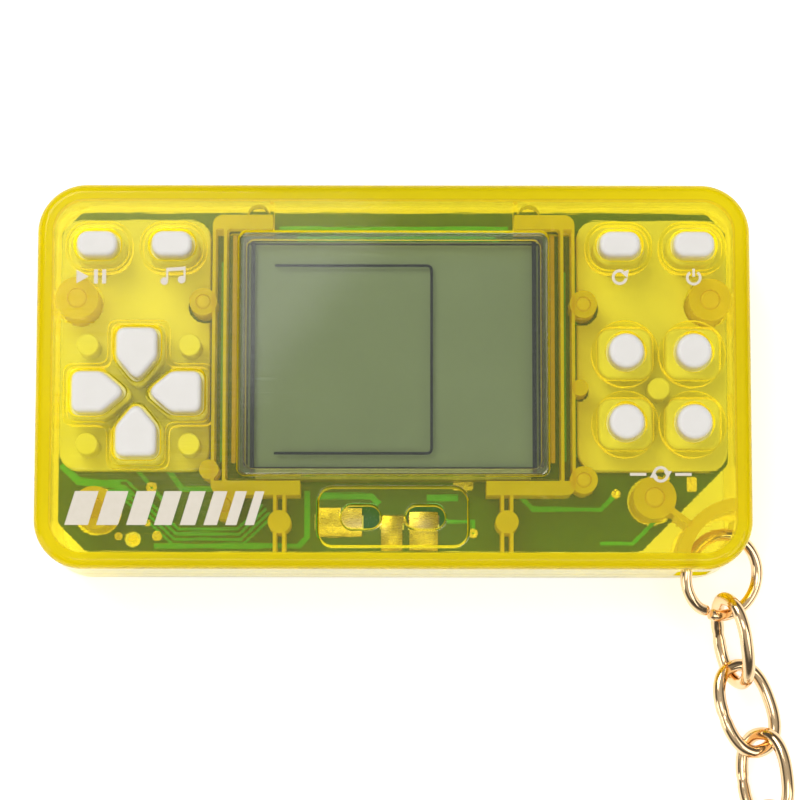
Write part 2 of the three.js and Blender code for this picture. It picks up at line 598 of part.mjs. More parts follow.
const electronics = new THREE.Group();
game.add(electronics);
piece(electronics, "main_board", mainBoard(), "board");
piece(electronics, "chip_blob", chipBlob(), "carbon", [-24.6, 2.5, BOARD_BOTTOM]);
piece(electronics, "capacitor", box(-1.6, 1.6, -0.8, 0.8, -1.2, 0), "tan", [-22, -8, BOARD_BOTTOM], 90);
piece(electronics, "resistor", box(-1.6, 1.6, -0.8, 0.8, -0.6, 0), "black", [-18.6, -5, BOARD_BOTTOM], 90);
BOARD_SCREWS.forEach(([x, y], i) => {
  const seat = BOARD_BOTTOM - 0.75 - 0.01;
  piece(electronics, `board_screw_${i + 1}`, screw(1.25, 0.75, 0.65, 4.4), "steel", [x, y, seat]);
});
piece(electronics, "contact_positive", batteryContact(-CELL.x, [CONTACT_TABS[0]]), "brass");
piece(electronics, "contact_negative", batteryContact(CELL.x, CONTACT_TABS.slice(1)), "brass");
piece(electronics, "contact_bridge", contactBridge(), "brass");
piece(electronics, "cell_1", buttonCell(false), "steel", [-CELL.x, CELL.y, CELL.bottom]);
piece(electronics, "cell_2", buttonCell(true), "steel", [CELL.x, CELL.y, CELL.bottom]);

const buzzer = new THREE.Group();
buzzer.position.set(BUZZER.x, BUZZER.y, 1.91);
electronics.add(buzzer);
piece(buzzer, "piezo_disc", cylinder(0, 0, BUZZER.radius, 0, 0.25, 32), "brass");
piece(buzzer, "piezo_ceramic", cylinder(0, 0, BUZZER.ceramic, 0.26, 0.5, 28), "ceramic");
const wireTop = BOARD_BOTTOM - 1.93;
const redPath = [[-2.5, 1, 0.9], [-3.5, 0.5, 1.6], [-5, -0.5, 2.4], [-5.2, -1.5, 3.6], [-5, -1.6, wireTop]];
const blackPath = [[6.2, 0, 0.62], [6, -1.5, 1.5], [4, -3.6, 2.2], [3.2, -4.4, 3.4], [3, -4.5, wireTop]];
piece(buzzer, "buzzer_wire_1", tube(redPath, 0.33, 18, 8), "red");
piece(buzzer, "buzzer_wire_2", tube(blackPath, 0.33, 18, 8), "black");

const keypads = new THREE.Group();
game.add(keypads);
piece(keypads, "left_keypad", keypadSheet(-1), "silicone");
piece(keypads, "right_keypad", keypadSheet(1), "silicone");
KEYS.forEach((key) => piece(keypads, key.name, keySolid(key), "silicone", [key.x, key.y, 0], key.turn));

// The ring leans through the corner, down towards the chain.
const chain = new THREE.Group();
game.add(chain);
const ringShape = ringGeometry(RING.radius, RING.wire, 0.985, 0.25, RING.gap * DEG, 32);
const ring = piece(chain, "corner_ring", ringShape, "gold", RING.at);
ring.rotation.set(RING.lean * DEG, 0, RING.turn * DEG, "ZXY");

// Each link hooks round the wire before it: `hook` is the middle of that wire, `wire` its radius.
function hangFrom(hook, wire, rest, shape, name, long, ownWire) {
  const turned = new THREE.Euler(rest.roll * DEG, -rest.slope * DEG, rest.heading * DEG, "ZYX");
  const along = new THREE.Vector3(1, 0, 0).applyEuler(turned);
  const centre = hook.clone().addScaledVector(along, long - wire - ownWire - LINK.slack);
  const mesh = piece(chain, name, shape, "gold", centre.toArray());
  mesh.rotation.copy(turned);
  return centre.addScaledVector(along, long);
}

let hook = new THREE.Vector3(RING.radius, 0, 0).applyAxisAngle(new THREE.Vector3(0, 0, 1), RING.hang * DEG);
hook = hook.applyEuler(ring.rotation).add(ring.position);
let wire = RING.wire;
CHAIN.forEach((rest, i) => {
  hook = hangFrom(hook, wire, rest, linkGeometry(), `chain_link_${i + 1}`, LINK.long, LINK.wire);
  wire = LINK.wire;
});
const { radius, coils, rise, start } = KEY_RING;
const keyRingShape = ringGeometry(radius, KEY_RING.wire, coils, rise, start * DEG, 60);
hangFrom(hook, wire, KEY_RING_REST, keyRingShape, "key_ring", radius, KEY_RING.wire + rise);

export default game;
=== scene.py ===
"""The looks of a pocket LCD game in a see-through case, on a short key chain.

Everything is drawn in millimetres in the CAD part's frame and scaled to metres when its mesh is made:
+X runs along the case, +Y towards its top edge and +Z out of the screen. The case stands on z = 0.
"""

import math

import bmesh
import bpy
import numpy as np
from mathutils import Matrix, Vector


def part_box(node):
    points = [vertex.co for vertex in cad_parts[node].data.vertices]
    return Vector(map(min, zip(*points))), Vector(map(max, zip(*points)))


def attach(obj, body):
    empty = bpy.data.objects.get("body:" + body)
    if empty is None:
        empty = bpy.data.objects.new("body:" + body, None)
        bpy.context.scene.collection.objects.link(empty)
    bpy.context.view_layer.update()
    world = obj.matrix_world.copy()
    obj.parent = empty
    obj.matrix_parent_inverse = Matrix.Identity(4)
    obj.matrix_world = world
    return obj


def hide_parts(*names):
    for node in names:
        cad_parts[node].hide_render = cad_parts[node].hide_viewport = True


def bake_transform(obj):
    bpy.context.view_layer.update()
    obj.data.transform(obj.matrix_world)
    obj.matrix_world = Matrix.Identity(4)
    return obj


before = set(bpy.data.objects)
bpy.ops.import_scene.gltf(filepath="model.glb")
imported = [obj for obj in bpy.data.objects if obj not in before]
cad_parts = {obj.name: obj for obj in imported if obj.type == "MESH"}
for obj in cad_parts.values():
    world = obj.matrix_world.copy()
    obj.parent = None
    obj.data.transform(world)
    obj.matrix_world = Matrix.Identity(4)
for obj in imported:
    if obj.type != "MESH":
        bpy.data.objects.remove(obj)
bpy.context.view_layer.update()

MM = 0.001

# ---- Sizes of the moulded and printed detail, in millimetres ----
WALL = 1.6
FACE_THICK = 1.5
FLOOR_THICK = 1.4
EDGE = 1.0  # rounding of the case's outer edges
CORNER = 4.8  # rounding of the case's corners, seen from above
SEAM = 0.12  # bevel along the line where the shells meet
WINDOW = {"width": 30.4, "height": 24.1, "corner": 0.8, "lens": 0.95, "ledge": 0.75}
LCD_FRAME = {"width": 32.8, "height": 24.9, "thick": 1.4, "rib": 0.3, "top_mouth": 11.9, "bottom_mouth": 9.1}
CASE_SCREWS = ((-31.1, 7.7), (31.1, 7.6), (-29.2, -12.95), (25.5, -11.9))
BOARD_SCREWS = ((-18.7, 7.35), (18.65, 7.15), (-16.5, -12.7), (18.6, -10.2))
GUIDES = ((-18.0, -9.2, 0.95), (18.3, -1.1, 0.8))  # blind round posts beside the screen
RIB_POSTS = ((-11.1, -14.3), (11.1, -14.3))
SLOT_RECESS = {"y": -13.9, "width": 14.4, "height": 5.5, "deep": 0.5, "corner": 1.3}
SLOTS = {"spread": 3.15, "width": 3.8, "height": 2.2}
BOSS = {"radius": 2.1, "hole": 1.0}  # takes a case screw
BOARD_BOSS = {"radius": 1.35, "hole": 0.75}
CORE_BOTTOM = 11.5  # lower end of the solid plastic over a screw's tip
CORNER_WALL = {"x": 33.9, "y": -18.2, "inner": 5.05, "outer": 6.3}
RING_PORT = {"bottom": 4.6, "top": 10.2, "x": (27.9, 31.2), "y": (-17.2, -13.9)}
KEY = {"gap": 0.25, "flange": 0.55, "round": 0.45, "flange_thick": 2.0}
ARROW = {"tip": 1.0, "shoulder": 3.4, "reach": 6.3, "half": 2.0}
ARROW_ROUNDS = (1.1, 0.5, 0.9, 0.9, 0.5)  # at its tip, a shoulder, its two outer corners, a shoulder
ACTION_RADIUS = 1.7
FUNCTION_KEY = (3.95, 2.45, 1.1)  # width, height and corner
PAD_COLLAR = {"reach": (7.35, 7.0), "half": (3.05, 2.7)}
PEG = {"x": -25.7, "y": -15.7, "radius": 0.5, "hole": 0.8}
STEM_RADIUS = 1.5
DOOR = {"width": 26, "height": 14, "corner": 1.5, "tab_width": 7, "tab_height": 5.7, "tab_shift": 0.5}
BATTERY_BOX = (26.8, 15)
CELL_BAY = (24.4, 12.4)
BOARD_CORNERS = {"left": 2.8, "right": 8.7, "top": 2}  # how far its cut corners reach along its edges
FIELD_LINE = {"left": -11.7, "right": 3.75, "top": 11.12, "bottom": -7.5, "corner": 0.45, "width": 0.28}
TITLE_BARS = {"x": -31.4, "y": -13.1, "height": 3.3, "slant": 1.0, "gap": 0.8, "widest": 2.3, "step": 0.2}
TITLE_COUNT = 8
SYMBOL_Y = 9.65  # the symbols under the function keys
TURN_SYMBOL_Y = -9.75  # the symbol under the action keys
RING = {"radius": 4.02, "wire": 0.58, "gap_towards": (-0.32, -0.95), "gap": 5}
LINK = {"long": 4.4, "short": 2.7, "wire": 0.65, "square": 0.86}
KEY_RING = {"radius": 9.4, "wire": 0.58, "coils": 1.8, "rise": 1.25, "start": 36}
TRACK_THICK = 0.035
INK_THICK = 0.03


# ---- Levels and places read from the CAD part ----
def cad_box_mm(node):
    """A CAD node's lowest and highest corners, in millimetres."""
    low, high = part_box(node)
    return low / MM, high / MM


shell_low, shell_high = cad_box_mm("front_shell")
rear_low, rear_high = cad_box_mm("rear_shell")
board_low, board_high = cad_box_mm("main_board")
WIDTH = shell_high.x - shell_low.x
HEIGHT = shell_high.y - shell_low.y
TOP = shell_high.z
SPLIT = shell_low.z
LIP_TOP = SPLIT + 0.8
FACE_INSIDE = TOP - FACE_THICK
BOARD_TOP = board_high.z
BOARD_BOTTOM = board_low.z
lens_low, lens_high = cad_box_mm("window_lens")
WINDOW_Y = (lens_low.y + lens_high.y) / 2
door_low, door_high = cad_box_mm("battery_door")
disc_low, disc_high = cad_box_mm("piezo_disc")


# ---- Outlines: lists of (x, y), anticlockwise ----
def arc(x, y, radius, start, end, steps):
    """Points along an arc, in degrees, both ends included."""
    points = []
    for step in range(steps + 1):
        angle = math.radians(start + (end - start) * step / steps)
        points.append((x + radius * math.cos(angle), y + radius * math.sin(angle)))
    return points


def rounded_rect(x, y, width, height, radius, steps=9):
    """An outline that can be drawn inset: a function of the inset."""

    def outline(inset=0.0):
        corner = max(radius - inset, 0.02)
        right = width / 2 - inset - corner
        up = height / 2 - inset - corner
        points = arc(x + right, y - up, corner, -90, 0, steps)
        points += arc(x + right, y + up, corner, 0, 90, steps)
        points += arc(x - right, y + up, corner, 90, 180, steps)
        points += arc(x - right, y - up, corner, 180, 270, steps)
        return points

    return outline


def disc(x, y, radius, sides=48):
    """A circle as a function of the inset."""

    def outline(inset=0.0):
        return arc(x, y, radius - inset, 0, 360 - 360 / sides, sides - 1)

    return outline


def soft_polygon(corners, cuts, steps=6):
    """A polygon with rounded corners, each starting `cuts` before the corner: one number, or one for each."""
    points = []
    for i, corner in enumerate(corners):
        cut = cuts[i] if isinstance(cuts, tuple) else cuts
        here = Vector(corner)
        start = here + (Vector(corners[i - 1]) - here).normalized() * cut
        end = here + (Vector(corners[(i + 1) % len(corners)]) - here).normalized() * cut
        for step in range(steps + 1):
            t = step / steps
            p = start * (1 - t) ** 2 + here * 2 * t * (1 - t) + end * t * t
            points.append((p.x, p.y))
    return points


def arrow_key(x, y, turn):
    """A key of the direction pad, as a function of the inset. Turn 0 points outwards to the right."""

    def outline(inset=0.0):
        half = ARROW["half"] - inset
        outer = ARROW["reach"] - inset
        run = (ARROW["shoulder"] - ARROW["tip"]) / ARROW["half"]
        tip = ARROW["tip"] + inset * math.hypot(run, 1)
        shoulder = tip + run * half
        corners = [(tip, 0), (shoulder, -half), (outer, -half), (outer, half), (shoulder, half)]
        cuts = tuple(max(cut - inset * 0.6, 0.25) for cut in ARROW_ROUNDS)
        return placed(soft_polygon(corners, cuts), x, y, turn)

    return outline


def grown(outline, margin):
    """An outline moved out by a margin."""
    return lambda inset=0.0: outline(inset - margin)


def placed(points, x, y, turn=0.0):
    """Points turned about the origin, in degrees, then moved."""
    c, s = math.cos(math.radians(turn)), math.sin(math.radians(turn))
    return [(x + px * c - py * s, y + px * s + py * c) for px, py in points]


def case_outline(inset=0.0):
    """The case seen from above."""
    return rounded_rect(0, 0, WIDTH, HEIGHT, CORNER, 16)(inset)


def ribbon(points, width):
    """The outline of a flat strip of one width along a bent line."""
    left, right = [], []
    for i, point in enumerate(points):
        here = Vector(point)
        before = Vector(points[i - 1]) if i else None
        after = Vector(points[i + 1]) if i + 1 < len(points) else None
        ways = [(here - before).normalized()] if before else []
        ways += [(after - here).normalized()] if after else []
        way = sum(ways, Vector((0, 0))).normalized()
        side = Vector((-way.y, way.x)) * (width / 2 / max(way.dot(ways[0]), 0.3))
        left.append(tuple(here + side))
        right.append(tuple(here - side))
    return right + left[::-1]


# ---- Meshes ----
def new_object(name, vertices, faces):
    """A mesh object from corners in millimetres."""
    mesh = bpy.data.meshes.new(name)
    mesh.from_pydata([Vector(v) * MM for v in vertices], [], faces)
    obj = bpy.data.objects.new(name, mesh)
    bpy.context.scene.collection.objects.link(obj)
    return obj


def loft(name, rings):
    """A closed skin through rings of equal length, each (points, z), going up z."""
    count = len(rings[0][0])
    vertices = [(x, y, z) for points, z in rings for x, y in points]
    faces = [tuple(reversed(range(count)))]
    for r in range(len(rings) - 1):
        low, high = r * count, (r + 1) * count
        for i in range(count):
            j = (i + 1) % count
            faces.append((low + i, low + j, high + j, high + i))
    last = (len(rings) - 1) * count
    faces.append(tuple(range(last, last + count)))
    return new_object(name, vertices, faces)


def block(name, outline, bottom, top, low_edge=0.0, high_edge=0.0, steps=6):
    """A straight-sided block whose lower and upper edges are rounded off."""
    rings = [(outline(0), bottom)] if not low_edge else []
    for step in range(steps + 1) if low_edge else ():
        angle = math.pi / 2 * step / steps
        rings.append((outline(low_edge * (1 - math.sin(angle))), bottom + low_edge * (1 - math.cos(angle))))
    rings += [(outline(0), top)] if not high_edge else []
    for step in range(steps + 1) if high_edge else ():
        angle = math.pi / 2 * step / steps
        rings.append((outline(high_edge * (1 - math.cos(angle))), top - high_edge * (1 - math.sin(angle))))
    return loft(name, rings)


def mouth(name, outline, bottom, surface, flare, steps=5):
    """A cutter for a hole whose edge at the surface is rounded over by `flare`."""
    rings = [(outline(0), bottom)]
    for step in range(steps + 1):
        angle = math.pi / 2 * step / steps
        rings.append((outline(-flare * (1 - math.cos(angle))), surface - flare * (1 - math.sin(angle))))
    rings.append((outline(-flare), surface + 1))
    return loft(name, rings)


def slab(name, x, y, z):
    """A straight block between the given pairs of limits."""
    corners = [(x[0], y[0]), (x[1], y[0]), (x[1], y[1]), (x[0], y[1])]
    return loft(name, [(corners, z[0]), (corners, z[1])])


def turned(name, x, y, z, profile, sides=48):
    """A solid of revolution from (radius, height) pairs going up z, with both ends closed."""
    rings = [(disc(x, y, max(radius, 0.01), sides)(), z + height) for radius, height in profile]
    return loft(name, rings)


def sweep(name, path, radius, sides=20, closed=True, up=(0, 0, 1)):
    """Round wire along a path of points. `up` is any direction the path never runs along."""
    count = len(path)
    up = Vector(up)
    vertices, faces = [], []
    for i, point in enumerate(path):
        before = path[i - 1] if closed or i else point
        after = path[(i + 1) % count] if closed or i + 1 < count else point
        way = (after - before).normalized()
        side = way.cross(up).normalized()
        over = side.cross(way)
        thick = radius[i] if isinstance(radius, list) else radius
        for j in range(sides):
            angle = 2 * math.pi * j / sides
            vertices.append(point + (side * math.cos(angle) + over * math.sin(angle)) * thick)
    for i in range(count if closed else count - 1):
        a, b = i * sides, ((i + 1) % count) * sides
        for j in range(sides):
            k = (j + 1) % sides
            faces.append((a + j, b + j, b + k, a + k))
    if not closed:
        faces.append(tuple(range(sides)))
        faces.append(tuple(reversed(range((count - 1) * sides, count * sides))))
    return new_object(name, vertices, faces)


def settle_modifiers(obj):
    """Replaces the object's mesh with what its modifiers make of it."""
    graph = bpy.context.evaluated_depsgraph_get()
    made = bpy.data.meshes.new_from_object(obj.evaluated_get(graph))
    obj.modifiers.clear()
    old = obj.data
    obj.data = made
    bpy.data.meshes.remove(old)


def combine(target, operation, tools):
    """Joins the tools to the target, or cuts them out of it, and removes them."""
    for tool in tools:
        modifier = target.modifiers.new("combine", "BOOLEAN")
        modifier.solver = "MANIFOLD"
        modifier.operation = operation
        modifier.object = tool
        settle_modifiers(target)
        bpy.data.objects.remove(tool)
    return target


def merged(name, objects):
    """One object from several that may touch or stand apart, with no boolean."""
    work = bmesh.new()
    for obj in objects:
        work.from_mesh(obj.data)
        bpy.data.objects.remove(obj)
    mesh = bpy.data.meshes.new(name)
    work.to_mesh(mesh)
    work.free()
    made = bpy.data.objects.new(name, mesh)
    bpy.context.scene.collection.objects.link(made)
    return made


def finish_piece(obj, material, slot, body="case", replaces=(), sharp=32):
    """Smooths, paints and mounts a piece on its CAD body."""
    obj.data.materials.clear()
    obj.data.materials.append(material)
    obj.data.shade_smooth()
    obj.data.set_sharp_from_angle(angle=math.radians(sharp))
    weighted = obj.modifiers.new("normals", "WEIGHTED_NORMAL")
    weighted.keep_sharp = True
    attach(obj, body)
    if replaces:
        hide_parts(*replaces)
    return obj


# ---- Materials ----
def add(tree, kind, inputs=None, **settings):
    """A shader node with its settings, and its inputs set to values or linked to sockets."""
    made = tree.nodes.new("ShaderNode" + kind)
    for key, value in settings.items():
        setattr(made, key, value)
    for key, value in (inputs or {}).items():
        if isinstance(value, bpy.types.NodeSocket):
            tree.links.new(value, made.inputs[key])
        else:
            made.inputs[key].default_value = value
    return made


def new_material(name):
    """An empty material and its node tree."""
    material = bpy.data.materials.new(name)
    material.use_nodes = True
    material.node_tree.nodes.clear()
    return material, material.node_tree


def place_of(tree):
    """Object-space position, for textures that sit still on their piece."""
    return add(tree, "TexCoord").outputs["Object"]


def noise(tree, per_mm, detail=3.0, rough=0.5, stretch=None):
    """Noise with about `per_mm` features in a millimetre, optionally stretched along the axes."""
    where = place_of(tree)
    if stretch:
        where = add(tree, "Mapping", {"Vector": where, "Scale": stretch}).outputs["Vector"]
    inputs = {"Vector": where, "Scale": per_mm / MM, "Detail": detail, "Roughness": rough}
    return add(tree, "TexNoise", inputs).outputs["Fac"]


def spread(tree, value, low, high, from_low=0.3, from_high=0.7):
    """Maps noise onto a range of values."""
    inputs = {"Value": value, "From Min": from_low, "From Max": from_high, "To Min": low, "To Max": high}
    return add(tree, "MapRange", inputs).outputs["Result"]


def tint(tree, value, dark, light):
    """Blends two colours by a value."""
    mix = add(tree, "Mix", data_type="RGBA")
    tree.links.new(value, mix.inputs["Factor"])
    for socket, colour in zip([s for s in mix.inputs if s.type == "RGBA"], (dark, light), strict=True):
        socket.default_value = (*colour, 1)
    return [s for s in mix.outputs if s.type == "RGBA"][0]


def bump(tree, height, depth_mm):
    """A normal from a height, for a relief of the given depth."""
    inputs = {"Height": height, "Distance": depth_mm * MM, "Strength": 1.0}
    return add(tree, "Bump", inputs).outputs["Normal"]


def end(tree, surface, volume=None):
    """Finishes a material with its surface and, if given, what fills it."""
    out = add(tree, "OutputMaterial", {"Surface": surface})
    if volume:
        tree.links.new(volume, out.inputs["Volume"])


def open_to_lamps(tree, surface, colour, share=1.0):
    """Lets lamp light and diffuse light through a clear solid, so that what it holds is lit."""
    path = add(tree, "LightPath")
    blind = add(tree, "Math", {0: path.outputs["Is Shadow Ray"], 1: path.outputs["Is Diffuse Ray"]},
                operation="MAXIMUM").outputs["Value"]
    if share < 1:
        blind = add(tree, "Math", {0: blind, 1: share}, operation="MULTIPLY").outputs["Value"]
    clear = add(tree, "BsdfTransparent", {"Color": (*colour, 1)}).outputs["BSDF"]
    return add(tree, "MixShader", {0: blind, 1: surface, 2: clear}).outputs["Shader"]


SHELL_ABSORB = (0.9965, 0.974, 0.02)  # colour of the dye, for the density below
SHELL_DENSITY = 820.0
PAINTED_EDGE_GLOW = (1.0, 0.70, 0.0, 1)  # painted glow given off by the upright faces inside the case, standing in for light the walls gather


def wall_share(tree):
    """1 in the case's side walls and 0 inside them, from how far a point lies inside the outline."""
    flat_place = add(tree, "VectorMath", {0: place_of(tree), 1: (1.0, 1.0, 0.0)}, operation="MULTIPLY")
    away = add(tree, "VectorMath", {0: flat_place.outputs["Vector"]}, operation="ABSOLUTE")
    centre = ((WIDTH / 2 - CORNER) * MM, (HEIGHT / 2 - CORNER) * MM, 0.0)
    past = add(tree, "VectorMath", {0: away.outputs["Vector"], 1: centre}, operation="SUBTRACT")
    positive = add(tree, "VectorMath", {0: past.outputs["Vector"], 1: (0.0, 0.0, 0.0)}, operation="MAXIMUM")
    reach = add(tree, "VectorMath", {0: positive.outputs["Vector"]}, operation="LENGTH").outputs["Value"]
    inner = (CORNER - WALL - 0.1) * MM
    return spread(tree, reach, 0.0, 1.0, inner, inner + 0.25 * MM)


def foot_share(tree, facing):
    """Clouds the lower ends of the posts, ribs and walls that stand down on the board, which look filled."""
    level = add(tree, "SeparateXYZ", {"Vector": place_of(tree)}).outputs["Z"]
    near = add(tree, "Math", {0: level, 1: (BOARD_TOP + 0.1) * MM, 2: 0.3 * MM}, operation="COMPARE")
    down = spread(tree, facing, 0.45, 0.0, -0.9, -0.5)
    return add(tree, "Math", {0: near.outputs["Value"], 1: down}, operation="MULTIPLY").outputs["Value"]


def shell_plastic(name):
    """See-through yellow plastic: deep colour by thickness, milkier upright faces, and a painted glow on the
    upright faces inside the case.
    """
    material, tree = new_material(name)
    waves = noise(tree, 0.12, 1.0)
    marks = noise(tree, 1.1, 2.0, 0.7, (0.12, 2.4, 1.0))
    height = add(tree, "Math", {0: waves, 1: 1.0, 2: marks}, operation="MULTIPLY_ADD").outputs["Value"]
    glass = add(tree, "BsdfPrincipled", {
        "Base Color": (1.0, 0.985, 0.72, 1), "Roughness": spread(tree, marks, 0.03, 0.1), "IOR": 1.5,
        "Transmission Weight": 1.0, "Normal": bump(tree, height, 0.012),
    }).outputs["BSDF"]
    facing = add(tree, "SeparateXYZ", {"Vector": add(tree, "NewGeometry").outputs["Normal"]}).outputs["Z"]
    upright = add(tree, "Math", {0: facing}, operation="ABSOLUTE").outputs["Value"]
    wall = wall_share(tree)
    inside = spread(tree, upright, 0.30, 0.035, 0.0, 0.9)
    rim = spread(tree, upright, 0.2, 0.62, 0.2, 0.9)
    by_wall = {"Factor": wall, "A": inside, "B": rim}
    place_share = add(tree, "Mix", by_wall, data_type="FLOAT").outputs["Result"]
    shares = {0: place_share, 1: foot_share(tree, facing)}
    share = add(tree, "Math", shares, operation="MAXIMUM").outputs["Value"]
    body = add(tree, "BsdfDiffuse", {"Color": (0.80, 0.715, 0.004, 1)}).outputs["BSDF"]
    through = add(tree, "BsdfTranslucent", {"Color": (0.88, 0.785, 0.004, 1)}).outputs["BSDF"]
    milky = add(tree, "MixShader", {0: 0.5, 1: body, 2: through}).outputs["Shader"]
    mixed = add(tree, "MixShader", {0: share, 1: glass, 2: milky}).outputs["Shader"]
    # painted glow: an emission that no lamp drives, strongest on vertical faces and absent in the outer walls
    painted_glow_strength = spread(tree, upright, 0.26, 0.0, 0.0, 0.6)
    inner_edge = add(tree, "Math", {0: 1.0, 1: wall}, operation="SUBTRACT").outputs["Value"]
    light = add(tree, "Math", {0: inner_edge, 1: painted_glow_strength}, operation="MULTIPLY").outputs["Value"]
    glow = add(tree, "Emission", {"Color": PAINTED_EDGE_GLOW, "Strength": light}).outputs["Emission"]
    surface = add(tree, "AddShader", {0: mixed, 1: glow}).outputs["Shader"]
    volume = add(tree, "VolumeAbsorption", {"Color": (*SHELL_ABSORB, 1), "Density": SHELL_DENSITY})
    end(tree, open_to_lamps(tree, surface, (1.0, 0.99, 0.93), 0.98), volume.outputs["Volume"])
    return material


def cloudy_plastic(name, dark, light):
    """The same plastic where it is thick: mostly filled with scattered light, under a clear skin."""
    material, tree = new_material(name)
    cloud = noise(tree, 0.5, 3.0)
    inside = add(tree, "BsdfPrincipled", {
        "Base Color": tint(tree, cloud, dark, light),
        "Roughness": spread(tree, cloud, 0.12, 0.3), "IOR": 1.5, "Normal": bump(tree, cloud, 0.02),
    }).outputs["BSDF"]
    through = add(tree, "BsdfTranslucent", {"Color": (0.97, 0.79, 0.005, 1)}).outputs["BSDF"]
    milky = add(tree, "MixShader", {0: 0.45, 1: inside, 2: through}).outputs["Shader"]
    end(tree, open_to_lamps(tree, milky, (1.0, 0.9, 0.2), 0.6))
    return material


def clear_plastic(name, colour, rough_low=0.02, rough_high=0.08, ior=1.47):
    """Colourless see-through plastic or glass with faint marks."""
    material, tree = new_material(name)
    marks = noise(tree, 1.2, 2.0, 0.7, (0.15, 2.2, 1.0))
    glass = add(tree, "BsdfPrincipled", {
        "Base Color": (*colour, 1), "Roughness": spread(tree, marks, rough_low, rough_high), "IOR": ior,
        "Transmission Weight": 1.0, "Normal": bump(tree, marks, 0.004),
    }).outputs["BSDF"]
    end(tree, open_to_lamps(tree, glass, colour))
    return material


def solid_material(name, dark, light, per_mm=1.0, rough=(0.4, 0.5), depth=0.01, bump_per_mm=None, **inputs):
    """An opaque material: two close colours, varied roughness and a fine surface texture."""
    material, tree = new_material(name)
    cloud = noise(tree, per_mm)
    grain = noise(tree, bump_per_mm or per_mm * 6, 4.0, 0.6)
    settings = {
        "Base Color": tint(tree, cloud, dark, light),
        "Roughness": spread(tree, grain, *rough),
        "Normal": bump(tree, grain, depth),
    }
    settings.update({key.replace("_", " "): value for key, value in inputs.items()})
    end(tree, add(tree, "BsdfPrincipled", settings).outputs["BSDF"])
    return material


def polished_metal(name, dark, light, rough=(0.08, 0.2), depth=0.004, per_mm=0.8):
    """Plated or rolled metal: soft unevenness, hairline marks and slightly duller patches."""
    material, tree = new_material(name)
    uneven = noise(tree, per_mm, 3.0)
    hair = noise(tree, 5.0, 5.0, 0.7, (0.3, 2.0, 1.0))
    height = add(tree, "Math", {0: hair, 1: 0.25, 2: uneven}, operation="MULTIPLY_ADD").outputs["Value"]
    metal = add(tree, "BsdfPrincipled", {
        "Base Color": tint(tree, uneven, dark, light), "Metallic": 1.0,
        "Roughness": spread(tree, hair, *rough), "Normal": bump(tree, height, depth),
    }).outputs["BSDF"]
    end(tree, metal)
    return material


def lcd_glass(name):
    """The lit face of the liquid crystal: grey-green, with a faint sparkle and slow shading."""
    material, tree = new_material(name)
    slow = noise(tree, 0.06, 2.0)
    fine = noise(tree, 9.0, 2.0, 0.8)
    both = add(tree, "Math", {0: fine, 1: 0.3, 2: slow}, operation="MULTIPLY_ADD").outputs["Value"]
    colour = tint(tree, spread(tree, both, 0.0, 1.0, 0.4, 0.9), (0.265, 0.28, 0.122), (0.31, 0.325, 0.155))
    face = add(tree, "BsdfPrincipled", {
        "Base Color": colour, "Roughness": spread(tree, fine, 0.35, 0.55), "Coat Weight": 0.4,
        "Coat Roughness": 0.08, "Normal": bump(tree, fine, 0.003),
    }).outputs["BSDF"]
    end(tree, face)
    return material


shell_yellow = shell_plastic("shell_plastic")
shell_yellow_rear = shell_plastic("rear_shell_plastic")
post_yellow = cloudy_plastic("post_plastic", (0.74, 0.65, 0.003), (0.86, 0.77, 0.008))
core_yellow = cloudy_plastic("post_core_plastic", (0.84, 0.76, 0.10), (0.93, 0.86, 0.25))
lens_clear = clear_plastic("lens_plastic", (0.97, 0.985, 0.965))
film_clear = clear_plastic("polariser_film", (0.93, 0.95, 0.9), 0.05, 0.12, 1.15)
cell_glass = clear_plastic("lcd_cell_glass", (0.97, 0.985, 0.97), 0.01, 0.04, 1.12)
lcd_face = lcd_glass("lcd_face")
silicone = solid_material("silicone", (0.82, 0.79, 0.735), (0.88, 0.855, 0.805), 0.5, (0.42, 0.55), 0.012, 5)
solder_mask = solid_material(
    "solder_mask", (0.022, 0.105, 0.022), (0.036, 0.14, 0.03), 0.6, (0.18, 0.3), 0.006, 7.0, Coat_Weight=0.4,
)
mask_on_copper = solid_material(
    "mask_on_copper", (0.03, 0.40, 0.09), (0.05, 0.52, 0.12), 0.8, (0.15, 0.28), 0.006, 7.0, Coat_Weight=0.5,
)
pad_metal = polished_metal("solder", (0.62, 0.50, 0.16), (0.92, 0.80, 0.42), (0.15, 0.4), 0.12, 3.0)
# black segment ink, also used for the painted shadow lines at the screen's edges
lcd_ink_and_painted_shade = solid_material("lcd_segments_and_painted_shade", (0.003, 0.004, 0.003), (0.009, 0.01, 0.008), 4.0, (0.6, 0.7), 0.002)
seal = solid_material("lcd_seal", (0.36, 0.19, 0.01), (0.48, 0.28, 0.02), 1.0, (0.35, 0.5), 0.01)
carbon = solid_material("carbon_rubber", (0.012, 0.012, 0.014), (0.03, 0.03, 0.034), 2.0, (0.55, 0.75), 0.02)
epoxy = solid_material("black_epoxy", (0.01, 0.01, 0.01), (0.02, 0.02, 0.022), 1.0, (0.15, 0.3), 0.02)
foam = solid_material("foam", (0.035, 0.035, 0.038), (0.07, 0.07, 0.075), 3.0, (0.85, 0.98), 0.08, 8.0)
ceramic = solid_material("ceramic", (0.66, 0.65, 0.6), (0.78, 0.77, 0.72), 1.2, (0.4, 0.6), 0.008)
chip_body = solid_material("component_body", (0.16, 0.10, 0.05), (0.24, 0.16, 0.08), 2.0, (0.4, 0.6), 0.01)
red_wire = solid_material("red_insulation", (0.36, 0.01, 0.008), (0.46, 0.02, 0.015), 1.0, (0.35, 0.5), 0.01)
